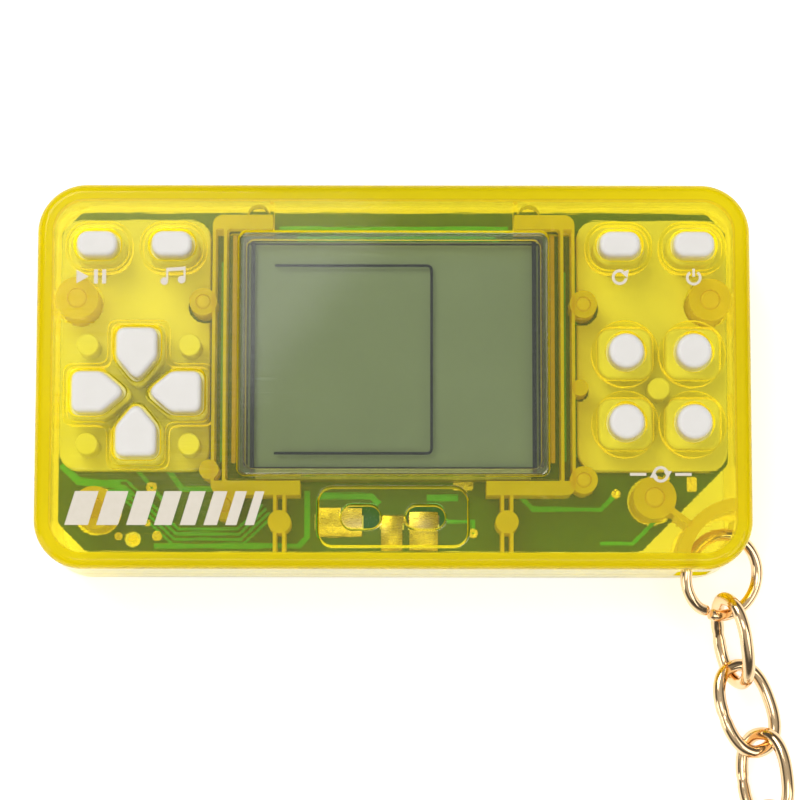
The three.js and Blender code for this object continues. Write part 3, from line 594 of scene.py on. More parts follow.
black_wire = solid_material("black_insulation", (0.01,) * 3, (0.03,) * 3, 1.0, (0.35, 0.5), 0.01)
ink = solid_material("cream_ink", (0.76, 0.69, 0.56), (0.84, 0.77, 0.65), 1.5, (0.4, 0.6), 0.006, 10.0)
gold = polished_metal("gold_plate", (0.82, 0.54, 0.26), (0.95, 0.71, 0.44), (0.05, 0.15), 0.01, 0.5)
steel = polished_metal("plated_steel", (0.55, 0.55, 0.56), (0.72, 0.72, 0.74), (0.18, 0.35))
brass = polished_metal("rolled_brass", (0.42, 0.33, 0.10), (0.66, 0.53, 0.22), (0.2, 0.36), 0.02, 1.4)
zebra = solid_material("zebra_rubber", (0.16, 0.17, 0.10), (0.34, 0.35, 0.24), 3.0, (0.5, 0.7), 0.02)


# ---- Keys ----
def key_table():
    """Every key: its name, the outline of its top, and its turn if it is part of the direction pad."""
    keys = []
    for name, turn in (("right", 0), ("up", 90), ("left", 180), ("down", 270)):
        keys.append((f"key_{name}", arrow_key(*PAD_CENTRE, turn), turn))
    for number in range(1, 5):
        name = f"key_action_{number}"
        keys.append((name, disc(*middle(name), ACTION_RADIUS), None))
    for name in ("key_start_pause", "key_music", "key_reset", "key_power"):
        keys.append((name, rounded_rect(*middle(name), *FUNCTION_KEY), None))
    return keys


def middle(node):
    """The middle of a CAD node, seen from above."""
    low, high = cad_box_mm(node)
    return (low.x + high.x) / 2, (low.y + high.y) / 2


pad_left, pad_right = cad_box_mm("key_left")[0], cad_box_mm("key_right")[1]
PAD_CENTRE = ((pad_left.x + pad_right.x) / 2, middle("key_right")[1])
KEYS = key_table()
action_first, action_last = middle("key_action_1"), middle("key_action_4")
ACTION_CENTRE = ((action_first[0] + action_last[0]) / 2, (action_first[1] + action_last[1]) / 2)


def key_flange(name, outline, turn):
    """The hidden skirt round a key, under the face."""
    x, y = middle(name)
    if turn is not None:
        return grown(outline, KEY["flange"])
    if "action" in name:
        return rounded_rect(x, y, 5.3, 5.0, 1.3)
    return rounded_rect(x, y, 5.05, 3.55, 1.7)


def build_key(name, outline, turn):
    """A key with its skirt, stem and carbon pill, and the dome under it."""
    low, high = cad_box_mm(name)
    flange_top = FACE_INSIDE - 0.2
    head = block("head", outline, flange_top - 0.3, high.z, 0, KEY["round"], 7)
    flange_outline = key_flange(name, outline, turn)
    flange = block("flange", flange_outline, flange_top - KEY["flange_thick"], flange_top, 0.2, 0.4)
    if turn is None:
        stem_x, stem_y = middle(name)
    else:
        stem_x, stem_y = placed([(4.1, 0)], *PAD_CENTRE, turn)[0]
    stem = block("stem", disc(stem_x, stem_y, STEM_RADIUS), low.z, flange_top - 1.8, 0.25, 0)
    head.name = name + "_silicone"
    combine(head, "UNION", [flange, stem])
    finish_piece(head, silicone, "silicone", name, [name], 50)
    pill = block("pill", disc(stem_x, stem_y, 1.25), low.z - 0.055, low.z - 0.005, 0.02, 0)
    pill.name = name + "_carbon"
    finish_piece(pill, carbon, "carbon", name)
    dome(name, stem_x, stem_y, low.z)


def dome(name, x, y, z):
    """The thin silicone skirt between the keypad sheet and a key, drawn as it stands at rest."""
    foot, collar = SHEET_TOP, z + 0.75
    rings = []
    for radius, height in ((2.5, foot), (2.42, foot + 0.12), (1.62, collar), (1.55, collar + 0.2)):
        rings.append((disc(x, y, radius)(), height))
    for radius, height in ((1.52, collar + 0.1), (1.54, collar - 0.12), (2.2, foot + 0.02), (2.25, foot)):
        rings.append((disc(x, y, radius)(), height))
    skirt = open_skin(name + "_dome", rings)
    skirt.data.materials.append(silicone)
    skirt.data.shade_smooth()
    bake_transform(skirt)


def open_skin(name, rings):
    """A closed band: the last ring joins the first."""
    count = len(rings[0][0])
    vertices = [(x, y, z) for points, z in rings for x, y in points]
    faces = []
    for r in range(len(rings)):
        low, high = r * count, ((r + 1) % len(rings)) * count
        for i in range(count):
            j = (i + 1) % count
            faces.append((low + i, low + j, high + j, high + i))
    return new_object(name, vertices, faces)


SHEET_TOP = BOARD_TOP + 0.9


def build_keypad(side):
    """The silicone sheet under one group of keys."""
    name = "left_keypad" if side < 0 else "right_keypad"
    low, high = cad_box_mm(name)
    x, y = (low.x + high.x) / 2, (low.y + high.y) / 2
    outline = rounded_rect(x, y, high.x - low.x, high.y - low.y, 2)
    sheet = block("sheet", outline, BOARD_TOP + 0.01, SHEET_TOP, 0, 0.25)
    sheet.name = name + "_sheet"
    if side < 0:
        spots = [(PAD_CENTRE[0] + dx, PAD_CENTRE[1] + dy) for dx in (-5, 5) for dy in (-4.9, 4.9)]
    else:
        spots = [ACTION_CENTRE]
    bumps = [block("bump", disc(*spot, 1.1), SHEET_TOP - 0.3, FACE_INSIDE - 0.2, 0, 0.2) for spot in spots]
    combine(sheet, "UNION", bumps)
    cuts = []
    for key, _, turn in KEYS:
        kx, ky = middle(key) if turn is None else placed([(4.1, 0)], *PAD_CENTRE, turn)[0]
        if kx * side > 0:
            cuts.append(block("well", disc(kx, ky, 2.2), 0, TOP))
    cuts += [block("relief", disc(*spot, 2.35), 0, TOP) for spot in CASE_SCREWS if spot[0] * side > 0]
    cuts += [block("relief", disc(*spot, 1.65), 0, TOP) for spot in BOARD_SCREWS if spot[0] * side > 0]
    cuts += [block("relief", disc(x, y, radius + 0.2), 0, TOP) for x, y, radius in GUIDES if x * side > 0]
    combine(sheet, "DIFFERENCE", cuts)
    finish_piece(sheet, silicone, "silicone", "case", [name])


# ---- Shells ----
def lcd_frame(bottom, top):
    """The broken wall that holds the glass: two thin ribs at each side, with a channel between them."""
    width, height, thick = LCD_FRAME["width"], LCD_FRAME["height"], LCD_FRAME["thick"]
    outline = rounded_rect(0, WINDOW_Y, width + 2 * thick, height + 2 * thick, 1)
    wall = block("wall", outline, bottom, top, 0.15, 0)
    upper, lower = LCD_FRAME["top_mouth"], LCD_FRAME["bottom_mouth"]
    cuts = [
        block("inside", rounded_rect(0, WINDOW_Y, width, height, 0.3), bottom - 1, TOP),
        slab("mouth", (-upper, upper), (WINDOW_Y, 30), (bottom - 1, TOP)),
        slab("mouth", (-lower, lower), (-30, WINDOW_Y), (bottom - 1, TOP)),
    ]
    near, far = width / 2 + LCD_FRAME["rib"], width / 2 + thick - LCD_FRAME["rib"]
    rows = (WINDOW_Y - height / 2, WINDOW_Y + height / 2)
    cuts.append(slab("channel", (-far, -near), rows, (bottom - 1, TOP)))
    cuts.append(slab("channel", (near, far), rows, (bottom - 1, TOP)))
    return combine(wall, "DIFFERENCE", cuts)


def corner_wall(bottom, top, inset):
    """The quarter-round wall behind the corner ring, ending `inset` inside the case's outline."""
    x, y = CORNER_WALL["x"], CORNER_WALL["y"]
    wall = block("arc", disc(x, y, CORNER_WALL["outer"], 96), bottom, top)
    combine(wall, "DIFFERENCE", [block("inside", disc(x, y, CORNER_WALL["inner"], 96), bottom - 1, top + 1)])
    keep = loft("keep", [(case_outline(inset), bottom), (case_outline(inset), top)])
    return combine(wall, "INTERSECT", [keep])


def key_collars():
    """Thin walls under the face that guide the keys' skirts."""
    deep = FACE_INSIDE - 1.6
    pad = combine(
        cross_block("cross", PAD_COLLAR["reach"][0], PAD_COLLAR["half"][0], deep, FACE_INSIDE + 0.2),
        "DIFFERENCE",
        [cross_block("inside", PAD_COLLAR["reach"][1], PAD_COLLAR["half"][1], deep - 1, TOP)],
    )
    collars = [pad]
    for name, outline, turn in KEYS:
        if turn is not None:
            continue
        x, y = middle(name)
        if "action" in name:
            outer, inner = disc(x, y, 3.28, 64), rounded_rect(x, y, 5.55, 5.25, 1.45)
        else:
            outer, inner = rounded_rect(x, y, 6.6, 5.15, 2.3), rounded_rect(x, y, 5.9, 4.45, 2.0)
        collar = block("collar", outer, deep, FACE_INSIDE + 0.2)
        collars.append(combine(collar, "DIFFERENCE", [block("inside", inner, deep - 1, TOP)]))
    return collars


def cross_block(name, reach, half, bottom, top):
    """A plus-shaped block round the direction pad, with softened corners."""
    corners = [
        (reach, half), (half, half), (half, reach), (-half, reach), (-half, half), (-reach, half),
        (-reach, -half), (-half, -half), (-half, -reach), (half, -reach), (half, -half), (reach, -half),
    ]
    points = placed(soft_polygon(corners, 1.0), *PAD_CENTRE)
    return loft(name, [(points, bottom), (points, top)])


def ring_ports(bottom, top):
    """Cutters for the two slots the corner ring passes through."""
    low, right = -HEIGHT / 2, WIDTH / 2
    return [
        slab("port", RING_PORT["x"], (low - 1, low + WALL + 1), (bottom, top)),
        slab("port", (right - WALL - 1, right + 1), RING_PORT["y"], (bottom, top)),
    ]


def build_front_shell():
    """The upper half of the case, with the key collars and the two tabs at its top edge."""
    shell = block("front_shell_moulding", case_outline, SPLIT, TOP, SEAM, EDGE, 10)
    inside = loft("inside", [(case_outline(WALL), SPLIT - 1), (case_outline(WALL), FACE_INSIDE)])
    groove = loft("groove", [(case_outline(0.8), SPLIT - 1), (case_outline(0.8), LIP_TOP + 0.1)])
    combine(shell, "DIFFERENCE", [inside, groove])
    fittings = key_collars()
    for side in (-1, 1):
        x, tab_top = side * 12, FACE_INSIDE + 0.2
        fittings.append(slab("tab", (x - 0.2, x + 0.2), (14.7, 17.4), (10, tab_top)))
        fittings.append(block("tab", disc(side * 13.3, 15.9, 1.1), 10, tab_top, 0.1, 0))
    combine(shell, "UNION", fittings)
    combine(shell, "DIFFERENCE", front_cuts())
    finish_piece(shell, shell_yellow, "shell_plastic", "case", ["front_shell"], 40)


def corner_web(bottom, top):
    """The rib from the bottom right boss to the corner wall."""
    x, y = CASE_SCREWS[3]
    across, down = CORNER_WALL["x"] - x, CORNER_WALL["y"] - y
    reach = math.hypot(across, down) - CORNER_WALL["outer"] + 0.2
    turn = math.degrees(math.atan2(down, across))
    points = placed([(2, -0.3), (reach, -0.3), (reach, 0.3), (2, 0.3)], x, y, turn)
    return loft("web", [(points, bottom), (points, top)])


def build_posts():
    """The posts and walls moulded under the face: thick plastic, so cloudier than the face."""
    bottom, top = BOARD_TOP + 0.1, FACE_INSIDE - 0.01
    wall_foot = LIP_TOP + 0.2
    curved = corner_wall(wall_foot, top, WALL + 0.01)
    combine(curved, "DIFFERENCE", ring_ports(SPLIT - 1, RING_PORT["top"]))
    posts = [lcd_frame(bottom, top), curved, corner_web(wall_foot, top)]
    cores = []
    bosses = [(spot, BOSS, SPLIT + 0.1) for spot in CASE_SCREWS]
    bosses += [(spot, BOARD_BOSS, bottom) for spot in BOARD_SCREWS]
    for spot, size, foot in bosses:
        boss = block("boss", disc(*spot, size["radius"]), foot, top, 0.15, 0)
        hole = block("hole", disc(*spot, size["hole"], 32), SPLIT - 1, TOP)
        posts.append(combine(boss, "DIFFERENCE", [hole]))
        cores.append(block("core", disc(*spot, size["hole"] - 0.02, 32), CORE_BOTTOM, top, 0.05, 0.3))
    finish_piece(merged("front_shell_post_cores", cores), core_yellow, "shell_plastic", "case", (), 40)
    for x, y, radius in GUIDES:
        posts.append(block("guide", disc(x, y, radius), bottom, top, 0.12, 0))
    for x, y in RIB_POSTS:
        posts.append(block("post", disc(x, y, 1.12), bottom, top, 0.1, 0))
        for dx in (-0.45, 0.45):
            sides = (x + dx - 0.16, x + dx + 0.16)
            posts.append(slab("rib", sides, (y + 1.05, -11.72), (bottom, top)))
            posts.append(slab("rib", sides, (-HEIGHT / 2 + WALL + 0.01, y - 1.05), (bottom, top)))
    finish_piece(merged("front_shell_posts", posts), post_yellow, "shell_plastic", "case", (), 40)


def front_cuts():
    """Window, key holes, sound recess and slots, screw holes and ring slots."""
    width, height, corner = WINDOW["width"], WINDOW["height"], WINDOW["corner"]
    ledge = WINDOW["ledge"]
    cuts = [
        mouth("rebate", rounded_rect(0, WINDOW_Y, width, height, corner), TOP - WINDOW["lens"], TOP, 0.12),
        mouth("window", rounded_rect(0, WINDOW_Y, width - 2 * ledge, height - 2 * ledge, corner), SPLIT,
              TOP - WINDOW["lens"], 0.1),
    ]
    for _, outline, _ in KEYS:
        cuts.append(mouth("key_hole", grown(outline, KEY["gap"]), FACE_INSIDE - 1.8, TOP, 0.22))
    size = SLOT_RECESS
    recess = rounded_rect(0, size["y"], size["width"], size["height"], size["corner"])
    floor = TOP - size["deep"]
    cuts.append(mouth("sound_recess", recess, floor, TOP, 0.35))
    for side in (-1, 1):
        slot = rounded_rect(side * SLOTS["spread"], size["y"], SLOTS["width"], SLOTS["height"], 1.08)
        cuts.append(mouth("sound_slot", slot, FACE_INSIDE - 0.5, floor, 0.3))
    return cuts + ring_ports(SPLIT - 1, RING_PORT["top"])


def build_rear_shell():
    """The lower half of the case, with its tongue, battery box, buzzer seat and posts."""
    shell = block("rear_shell_moulding", case_outline, 0, SPLIT, EDGE, SEAM, 10)
    inside = loft("inside", [(case_outline(WALL), FLOOR_THICK), (case_outline(WALL), SPLIT + 2)])
    combine(shell, "DIFFERENCE", [inside])
    tongue = loft("tongue", [(case_outline(0.9), SPLIT - 1), (case_outline(0.9), LIP_TOP)])
    combine(tongue, "DIFFERENCE", [
        loft("inside", [(case_outline(WALL), SPLIT - 2), (case_outline(WALL), SPLIT + 2)]),
    ])
    cell_y = middle("cell_1")[1]
    screw_y = middle("door_screw")[1]
    bx, by = middle("piezo_disc")
    seat = (disc_high.x - disc_low.x) / 2
    ceiling = BOARD_BOTTOM - 0.5
    low = FLOOR_THICK - 0.2
    fittings = [
        tongue, corner_wall(low, LIP_TOP, WALL - 0.2),
        block("battery_box", rounded_rect(0, cell_y, *BATTERY_BOX, 1), low, ceiling),
        block("door_post", disc(0, screw_y, 2), low, ceiling),
        block("buzzer_seat", disc(bx, by, seat + 0.8, 64), low, 2.6),
        block("peg", disc(PEG["x"], PEG["y"], PEG["radius"], 32), low, BOARD_TOP, 0, 0.15),
    ]
    fittings += [block("post", disc(x, y, 2.6), low, SPLIT, 0, 0.1) for x, y in CASE_SCREWS]
    for side in (-1, 1):
        x = side * 32.5
        fittings.append(slab("board_rest", (x - 0.8, x + 0.8), (-4, -1), (low, BOARD_BOTTOM - 0.1)))
    combine(shell, "UNION", fittings)
    door = rounded_rect(0, cell_y, DOOR["width"] + 0.3, DOOR["height"] + 0.3, DOOR["corner"])
    cuts = [
        block("cell_bay", rounded_rect(0, cell_y, *CELL_BAY, 0.6), -1, TOP),
        block("door_rebate", door, -1, FLOOR_THICK - 0.1),
        block("tab_rebate", tab_outline(screw_y, 0.15), -1, FLOOR_THICK - 0.1),
        block("door_hole", disc(0, screw_y, 0.85, 32), -1, TOP),
        block("disc_bay", disc(bx, by, seat + 0.1, 64), 1.9, 3),
        block("disc_well", disc(bx, by, seat - 0.8, 64), FLOOR_THICK, 3),
        block("sound_hole", disc(bx, by, 0.6, 24), -1, 3),
    ]
    cuts += [block("sound_hole", disc(*spot, 0.6, 24), -1, 3) for spot in arc(bx, by, 2.4, 0, 300, 5)]
    for x, y in CASE_SCREWS:
        cuts.append(block("counterbore", disc(x, y, 1.75, 40), -1, 2.6))
        cuts.append(block("screw_hole", disc(x, y, 1.1, 32), -1, SPLIT + 1))
    combine(shell, "DIFFERENCE", cuts + ring_ports(RING_PORT["bottom"], SPLIT + 2))
    finish_piece(shell, shell_yellow_rear, "shell_plastic", "case", ["rear_shell"], 40)


def tab_outline(screw_y, gap=0.0):
    """The battery door's screw tab, or the rebate that takes it with a gap all round."""
    width, height = DOOR["tab_width"] + 2 * gap, DOOR["tab_height"] + 2 * gap
    return rounded_rect(0, screw_y - DOOR["tab_shift"], width, height, DOOR["corner"])


def build_door():
    """The battery door with its screw tab and four grip grooves."""
    cell_y, screw_y = middle("cell_1")[1], middle("door_screw")[1]
    low, high = door_low.z, door_high.z
    outline = rounded_rect(0, cell_y, DOOR["width"], DOOR["height"], DOOR["corner"])
    plate = block("battery_door_cover", outline, low, high, 0.25, 0.15)
    combine(plate, "UNION", [block("tab", tab_outline(screw_y), low, high, 0.25, 0.15)])
    cuts = [
        block("screw_head", disc(0, screw_y, 1.6, 40), -1, 0.75),
        block("screw_hole", disc(0, screw_y, 0.95, 40), -1, 3),
    ]
    for x in (-8, -6.6, 6.6, 8):
        cuts.append(block("grip", rounded_rect(x, cell_y, 0.6, 9, 0.28), -1, 0.35))
    combine(plate, "DIFFERENCE", cuts)
    finish_piece(plate, shell_yellow_rear, "shell_plastic", "battery_door", ["battery_door"], 40)


def build_lens():
    """The clear pane in the case's window."""
    outline = rounded_rect(0, WINDOW_Y, lens_high.x - lens_low.x, lens_high.y - lens_low.y, WINDOW["corner"])
    lens = block("window_lens_clear", outline, lens_low.z, lens_high.z, 0.08, 0.22)
    finish_piece(lens, lens_clear, "lens_plastic", "case", ["window_lens"], 40)


# ---- Screen ----
def build_screen():
    """The glass sandwich: two polarisers, two sheets of glass and the lines between them."""
    rear_high = cad_box_mm("lcd_rear_glass")[1]
    line_level = rear_high.z - 0.06
    build_sheet("front_polariser", "film", film_clear, "polariser", 0.3, (0, 0), (0.03, 0.05))
    build_sheet("lcd_front_glass", "sheet", cell_glass, "lcd_glass", 0.25, (0.05, 0.01), (0.06, 0.08))
    build_sheet("lcd_rear_glass", "sheet", cell_glass, "lcd_glass", 0.25, (0, 0.06), (0.06, 0.03))
    build_segments(line_level)
    build_sheet("rear_polariser", "film", lcd_face, "polariser", 0.3, (0, 0.01), (0.03, 0.05))


def build_sheet(node, kind, material, slot, corner, trims, edges):
    """One sheet of the sandwich, trimmed below and above, with its lower and upper edges rounded."""
    name = f"{node}_{kind}"
    low, high = cad_box_mm(node)
    outline = rounded_rect(0, (low.y + high.y) / 2, high.x - low.x, high.y - low.y, corner)
    sheet = block(name, outline, low.z + trims[0], high.z - trims[1], *edges, 3)
    finish_piece(sheet, material, slot, "case", [node])


def build_segments(z):
    """The field's outline on the screen, open on its left, the seal lines at the glass's edges, and painted
    shadow lines round the polariser and down the window's sides.
    """
    left, top, bottom, corner = (FIELD_LINE[key] for key in ("left", "top", "bottom", "corner"))
    bend = FIELD_LINE["right"] - corner
    path = [(left, top), (bend, top), *arc(bend, top - corner, corner, 90, 0, 4)[1:]]
    path += [*arc(bend, bottom + corner, corner, 0, -90, 4), (left, bottom)]
    line = ribbon(path, FIELD_LINE["width"])
    lines = loft("lcd_segment_lines", [(line, z + 0.012), (line, z + 0.03)])
    finish_piece(lines, lcd_ink_and_painted_shade, "lcd_glass", "case")
    low, high = cad_box_mm("lcd_rear_glass")
    sides = []
    for side in (-1, 1):
        x = side * (high.x - 0.55)
        outline = rounded_rect(x, (low.y + high.y) / 2, 0.4, 22.6, 0.15)
        sides.append(block("seal", outline, z + 0.01, z + 0.05))
    finish_piece(merged("lcd_seal_lines", sides), seal, "lcd_glass", "case")
    # painted shadow: a dark line just inside the polariser's edge, where that edge shades the face
    film_low, film_high = cad_box_mm("front_polariser")
    build_border("polariser_edge_painted_shadow", lcd_ink_and_painted_shade, film_low, film_high, z, 0.25, 0.2)
    # painted shade: a dark strip down each side of the window, where the window's ledge shades the screen
    strips = []
    for side in (-1, 1):
        x = side * 13.85
        strips.append(block("strip", rounded_rect(x, WINDOW_Y, 0.42, 23.4, 0.2), z + 0.02, z + 0.055))
    finish_piece(merged("window_edge_shade", strips), lcd_ink_and_painted_shade, "lcd_glass", "case")


def build_border(name, material, low, high, z, inset, width):
    """A flat line round a rectangle, `inset` inside its edge."""
    x, y = (low.x + high.x) / 2, (low.y + high.y) / 2
    outline = rounded_rect(x, y, high.x - low.x, high.y - low.y, 0.5)
    line = loft(name, [(outline(inset), z + 0.012), (outline(inset), z + 0.03)])
    inner = outline(inset + width)
    combine(line, "DIFFERENCE", [loft("inside", [(inner, z - 1), (inner, z + 1)])])
    finish_piece(line, material, "lcd_glass", "case")


# ---- Board ----
def board_outline():
    """The board: a rectangle with its corners cut off, the one by the corner ring much further."""
    x, y = (board_high.x - board_low.x) / 2, (board_high.y - board_low.y) / 2
    left, right, top = BOARD_CORNERS["left"], BOARD_CORNERS["right"], BOARD_CORNERS["top"]
    corners = [
        (-x + left, -y), (x - right, -y), (x, -y + right), (x, y - top), (x - top, y), (-x + top, y),
        (-x, y - top), (-x, -y + left),
    ]
    return soft_polygon(corners, 0.4)


def board_cuts():
    """Cutters for the board's screw holes, tab slots and peg hole."""
    cuts = [block("screw_cut", disc(x, y, 2.4), 0, TOP) for x, y in CASE_SCREWS]
    cuts += [block("screw_cut", disc(x, y, 0.85, 32), 0, TOP) for x, y in BOARD_SCREWS]
    for left, right, _, _ in TABS:
        cuts.append(slab("tab_slot", (left - 0.15, right + 0.15), (-14.75, -13.25), (0, TOP)))
    cuts.append(block("peg_hole", disc(PEG["x"], PEG["y"], PEG["hole"]), 0, TOP))
    return cuts


def offset_line(points, distance):
    """A line parallel to a bent line, to its left."""
    strip = ribbon(points, 2 * distance)
    return strip[len(points):][::-1]


# The battery contacts' tabs on top of the board: left, right, bottom and top edges.
TABS = ((-7.6, -3.1, -15.4, -12.6), (-1.2, 0.9, -16.8, -13.4), (1.6, 4.4, -16.8, -13.0))
TRACK_GROUP = ((-28.2, -9.9), (-26.4, -9.9), (-21.2, -14.7), (-15.4, -14.7), (-12.9, -12.3))
TRACKS = (
    (((-32.8, -8.3), (-31.1, -10.0), (-27.4, -10.3), (-25.9, -11.6)), 0.75),
    (((-22.6, -8.4), (-20.9, -10.7), (-17.6, -10.7)), 0.55),
    (((-25.4, -8.8), (-22.6, -12.0)), 0.4),
    (((-23.6, -16.35), (-9.3, -16.35), (-8.5, -15.5), (-8.5, -10.9)), 0.55),
    (((12.4, -11.3), (13.8, -12.7), (20.5, -12.7), (21.9, -11.3)), 0.45),
    (((-9.6, 14.35), (9.9, 14.35), (11.4, 13.0)), 0.5),
    (((-11.4, 15.3), (11.4, 15.3)), 0.6),
    (((-7.4, -11.4), (-2.2, -11.4), (-1.4, -12.2)), 0.6),
    (((5.2, -13.9), (7.9, -13.9), (7.9, -15.1)), 0.35),
    (((3.3, -11.6), (6.4, -11.6)), 0.7),
    (((-18.6, 4.9), (-18.6, -7.6)), 0.5),
    (((17.9, 12.6), (17.9, -6.9), (19.2, -8.2)), 0.6),
    (((20.4, -16.1), (23.6, -16.1), (26.9, -12.8)), 0.4),
    (((-31.9, 8.9), (-32.2, 12.4), (-31.4, 15.9)), 0.5),
    (((31.6, 9.9), (32.2, 13.0)), 0.5),
    (((-16.9, 12.0), (-16.9, -8.0)), 0.5),
    (((16.9, 11.0), (16.9, -8.0)), 0.45),
)
PADS = (
    (7.9, -15.1, 0.45), (-23.9, -10.6, 0.55), (-23.3, -15.4, 0.5), (-27.1, -15.4, 0.4), (22.0, -11.2, 0.45),
    (27.0, -9.6, 0.35), (-24.3, -14.1, 0.35),
)


def build_board():
    """The circuit board with its tracks under the solder mask and its bare pads."""
    board = loft("board_fibreglass", [(board_outline(), BOARD_BOTTOM), (board_outline(), BOARD_TOP)])
    combine(board, "DIFFERENCE", board_cuts())
    finish_piece(board, solder_mask, "board", "case", ["main_board"])
    strips = [ribbon(points, width) for points, width in TRACKS]
    for number in range(4):
        strips.append(ribbon(offset_line(TRACK_GROUP, -0.5 * number), 0.26))
    tracks = []
    for i, strip in enumerate(strips):
        low = BOARD_TOP + 0.004 + 0.0004 * i
        tracks.append(loft("track", [(strip, low), (strip, low + TRACK_THICK)]))
    copper = merged("board_tracks", tracks)
    finish_piece(copper, mask_on_copper, "board", "case")
    pads = []
    for x, y, radius in PADS:
        profile = ((radius, 0.004), (radius, 0.05), (radius * 0.8, 0.07), (radius * 0.45, 0.05), (0.05, 0.03))
        pads.append(turned("pad", x, y, BOARD_TOP, profile, 24))
    for x, y, wide, high in ((6.9, -10.4, 2.0, 0.9), (29.5, -10.2, 1.0, 1.5)):
        outline = rounded_rect(x, y, wide, high, 0.2, 3)
        pads.append(block("pad", outline, BOARD_TOP + 0.01, BOARD_TOP + 0.06, 0, 0.03, 2))
    finish_piece(merged("board_pads", pads), pad_metal, "board", "case")


def build_screw(name, head, thick, shank, body="case"):
    """A screw with a cross in its head, which points down, and a ridged shank."""
    low, high = cad_box_mm(name)
    x, y = middle(name)
    length = high.z - low.z
    profile = [(head * 0.7, 0), (head * 0.9, 0.06), (head, thick * 0.4), (head, thick), (shank, thick)]
    height = thick + 0.25
    while height < length - 1.0:
        profile += [(shank, height), (shank + 0.14, height + 0.12), (shank, height + 0.24)]
        height += 0.42
    profile += [(shank * 0.9, length - 0.6), (0.1, length)]
    screw = turned(name + "_threaded", x, y, low.z, profile, 40)
    arm = head * 0.6
    cuts = []
    for wide, tall in ((arm, 0.19), (0.19, arm)):
        deep = (low.z - 1, low.z + thick * 0.6)
        cuts.append(slab("cross", (x - wide, x + wide), (y - tall, y + tall), deep))
    combine(screw, "DIFFERENCE", cuts)
    finish_piece(screw, steel, "steel", body, [name])


def build_cell(name, cap_up):
    """A button cell: a can with a rounded foot and a raised cap, either way up."""
    low, high = cad_box_mm(name)
    x, y = middle(name)
    radius, thick = (high.x - low.x) / 2, high.z - low.z
    profile = [
        (radius - 0.5, 0), (radius - 0.15, 0.08), (radius, 0.35), (radius, thick - 0.55),
        (radius - 0.25, thick - 0.35), (radius - 0.55, thick - 0.3), (radius - 0.7, thick - 0.42),
        (radius - 0.85, thick - 0.12), (radius - 1.2, thick),
    ]
    if not cap_up:
        profile = [(r, thick - z) for r, z in reversed(profile)]
    finish_piece(turned(name + "_can", x, y, low.z, profile, 72), steel, "steel", "case", [name])


def build_chip():
    """The drop of epoxy over the chip."""
    x, y = middle("chip_blob")
    low, high = cad_box_mm("chip_blob")
    radius, deep = (high.x - low.x) / 2, high.z - low.z
    profile = [(radius * math.cos(a), deep * (1 - math.sin(a))) for a in np.linspace(math.pi / 2, 0, 12)]
    blob = turned("chip_epoxy_drop", x, y, low.z, profile, 40)
    finish_piece(blob, epoxy, "epoxy", "case", ["chip_blob"])


def build_component(name):
    """A capacitor or resistor: a body between two metal ends."""
    low, high = cad_box_mm(name)
    x, y = middle(name)
    long, wide = high.y - low.y, high.x - low.x
    outline = rounded_rect(x, y, wide - 0.06, long * 0.6, 0.1, 3)
    core = block(name + "_body", outline, low.z + 0.04, high.z - 0.02, 0.08)
    finish_piece(core, chip_body, "component", "case", [name])
    ends = []
    for side in (-1, 1):
        outline = rounded_rect(x, y + side * long * 0.4, wide, long * 0.2, 0.12, 3)
        ends.append(block("end", outline, low.z, high.z - 0.01, 0.08))
    finish_piece(merged(name + "_terminals", ends), steel, "component", "case")


def build_buzzer():
    """The brass disc, the ceramic disc on it, and their two wires."""
    radius = (disc_high.x - disc_low.x) / 2
    x, y = middle("piezo_disc")
    profile = [(radius - 0.05, 0), (radius, 0.05), (radius, 0.2), (radius - 0.05, 0.24)]
    plate = turned("piezo_brass_disc", x, y, disc_low.z, profile, 72)
    finish_piece(plate, brass, "brass", "case", ["piezo_disc"])
    low, high = cad_box_mm("piezo_ceramic")
    radius = (high.x - low.x) / 2
    profile = [(radius, 0), (radius, 0.15), (radius - 0.08, high.z - low.z)]
    plate = turned("piezo_ceramic_disc", x, y, low.z, profile, 64)
    finish_piece(plate, ceramic, "ceramic", "case", ["piezo_ceramic"])
    build_wires(x, y, disc_low.z)


def build_wires(x, y, z):
    """Two leads that rise from the buzzer to the board, with a drop of solder at each end."""
    rise = BOARD_BOTTOM - z - 0.04
    runs = (
        ("buzzer_wire_1", red_wire, "wire_red",
         ((-2.5, 1, 0.9), (-3.5, 0.5, 1.6), (-5, -0.5, 2.4), (-5.2, -1.5, 3.6), (-5, -1.6, rise))),
        ("buzzer_wire_2", black_wire, "wire_black",
         ((6.2, 0, 0.65), (6, -1.5, 1.5), (4, -3.6, 2.2), (3.2, -4.4, 3.4), (3, -4.5, rise))),
    )
    for name, material, slot_name, knots in runs:
        path = smooth_path([Vector((x + a, y + b, z + c)) for a, b, c in knots], 8)
        wire = sweep(name + "_lead", path, 0.31, 16, False, (0.6, 0.7, 0.2))
        finish_piece(wire, material, slot_name, "case", [name])
        drops = []
        for point in (path[0], path[-1]):
            profile = [(0.42, -0.22), (0.5, -0.05), (0.4, 0.15), (0.2, 0.24)]
            drops.append(turned("solder", point.x, point.y, point.z, profile, 20))
        finish_piece(merged(name + "_solder", drops), steel, "steel", "case")


def smooth_path(knots, steps):
    """A Catmull-Rom curve through the knots."""
    padded = [knots[0] * 2 - knots[1], *knots, knots[-1] * 2 - knots[-2]]
    path = []
    for a, b, c, d in zip(padded, padded[1:], padded[2:], padded[3:], strict=False):
        for step in range(steps):
            t = step / steps
            square = (2 * a - 5 * b + 4 * c - d) * t**2
            cube = (3 * b - a - 3 * c + d) * t**3
            path.append(0.5 * (2 * b + (c - a) * t + square + cube))
    return [*path, knots[-1]]


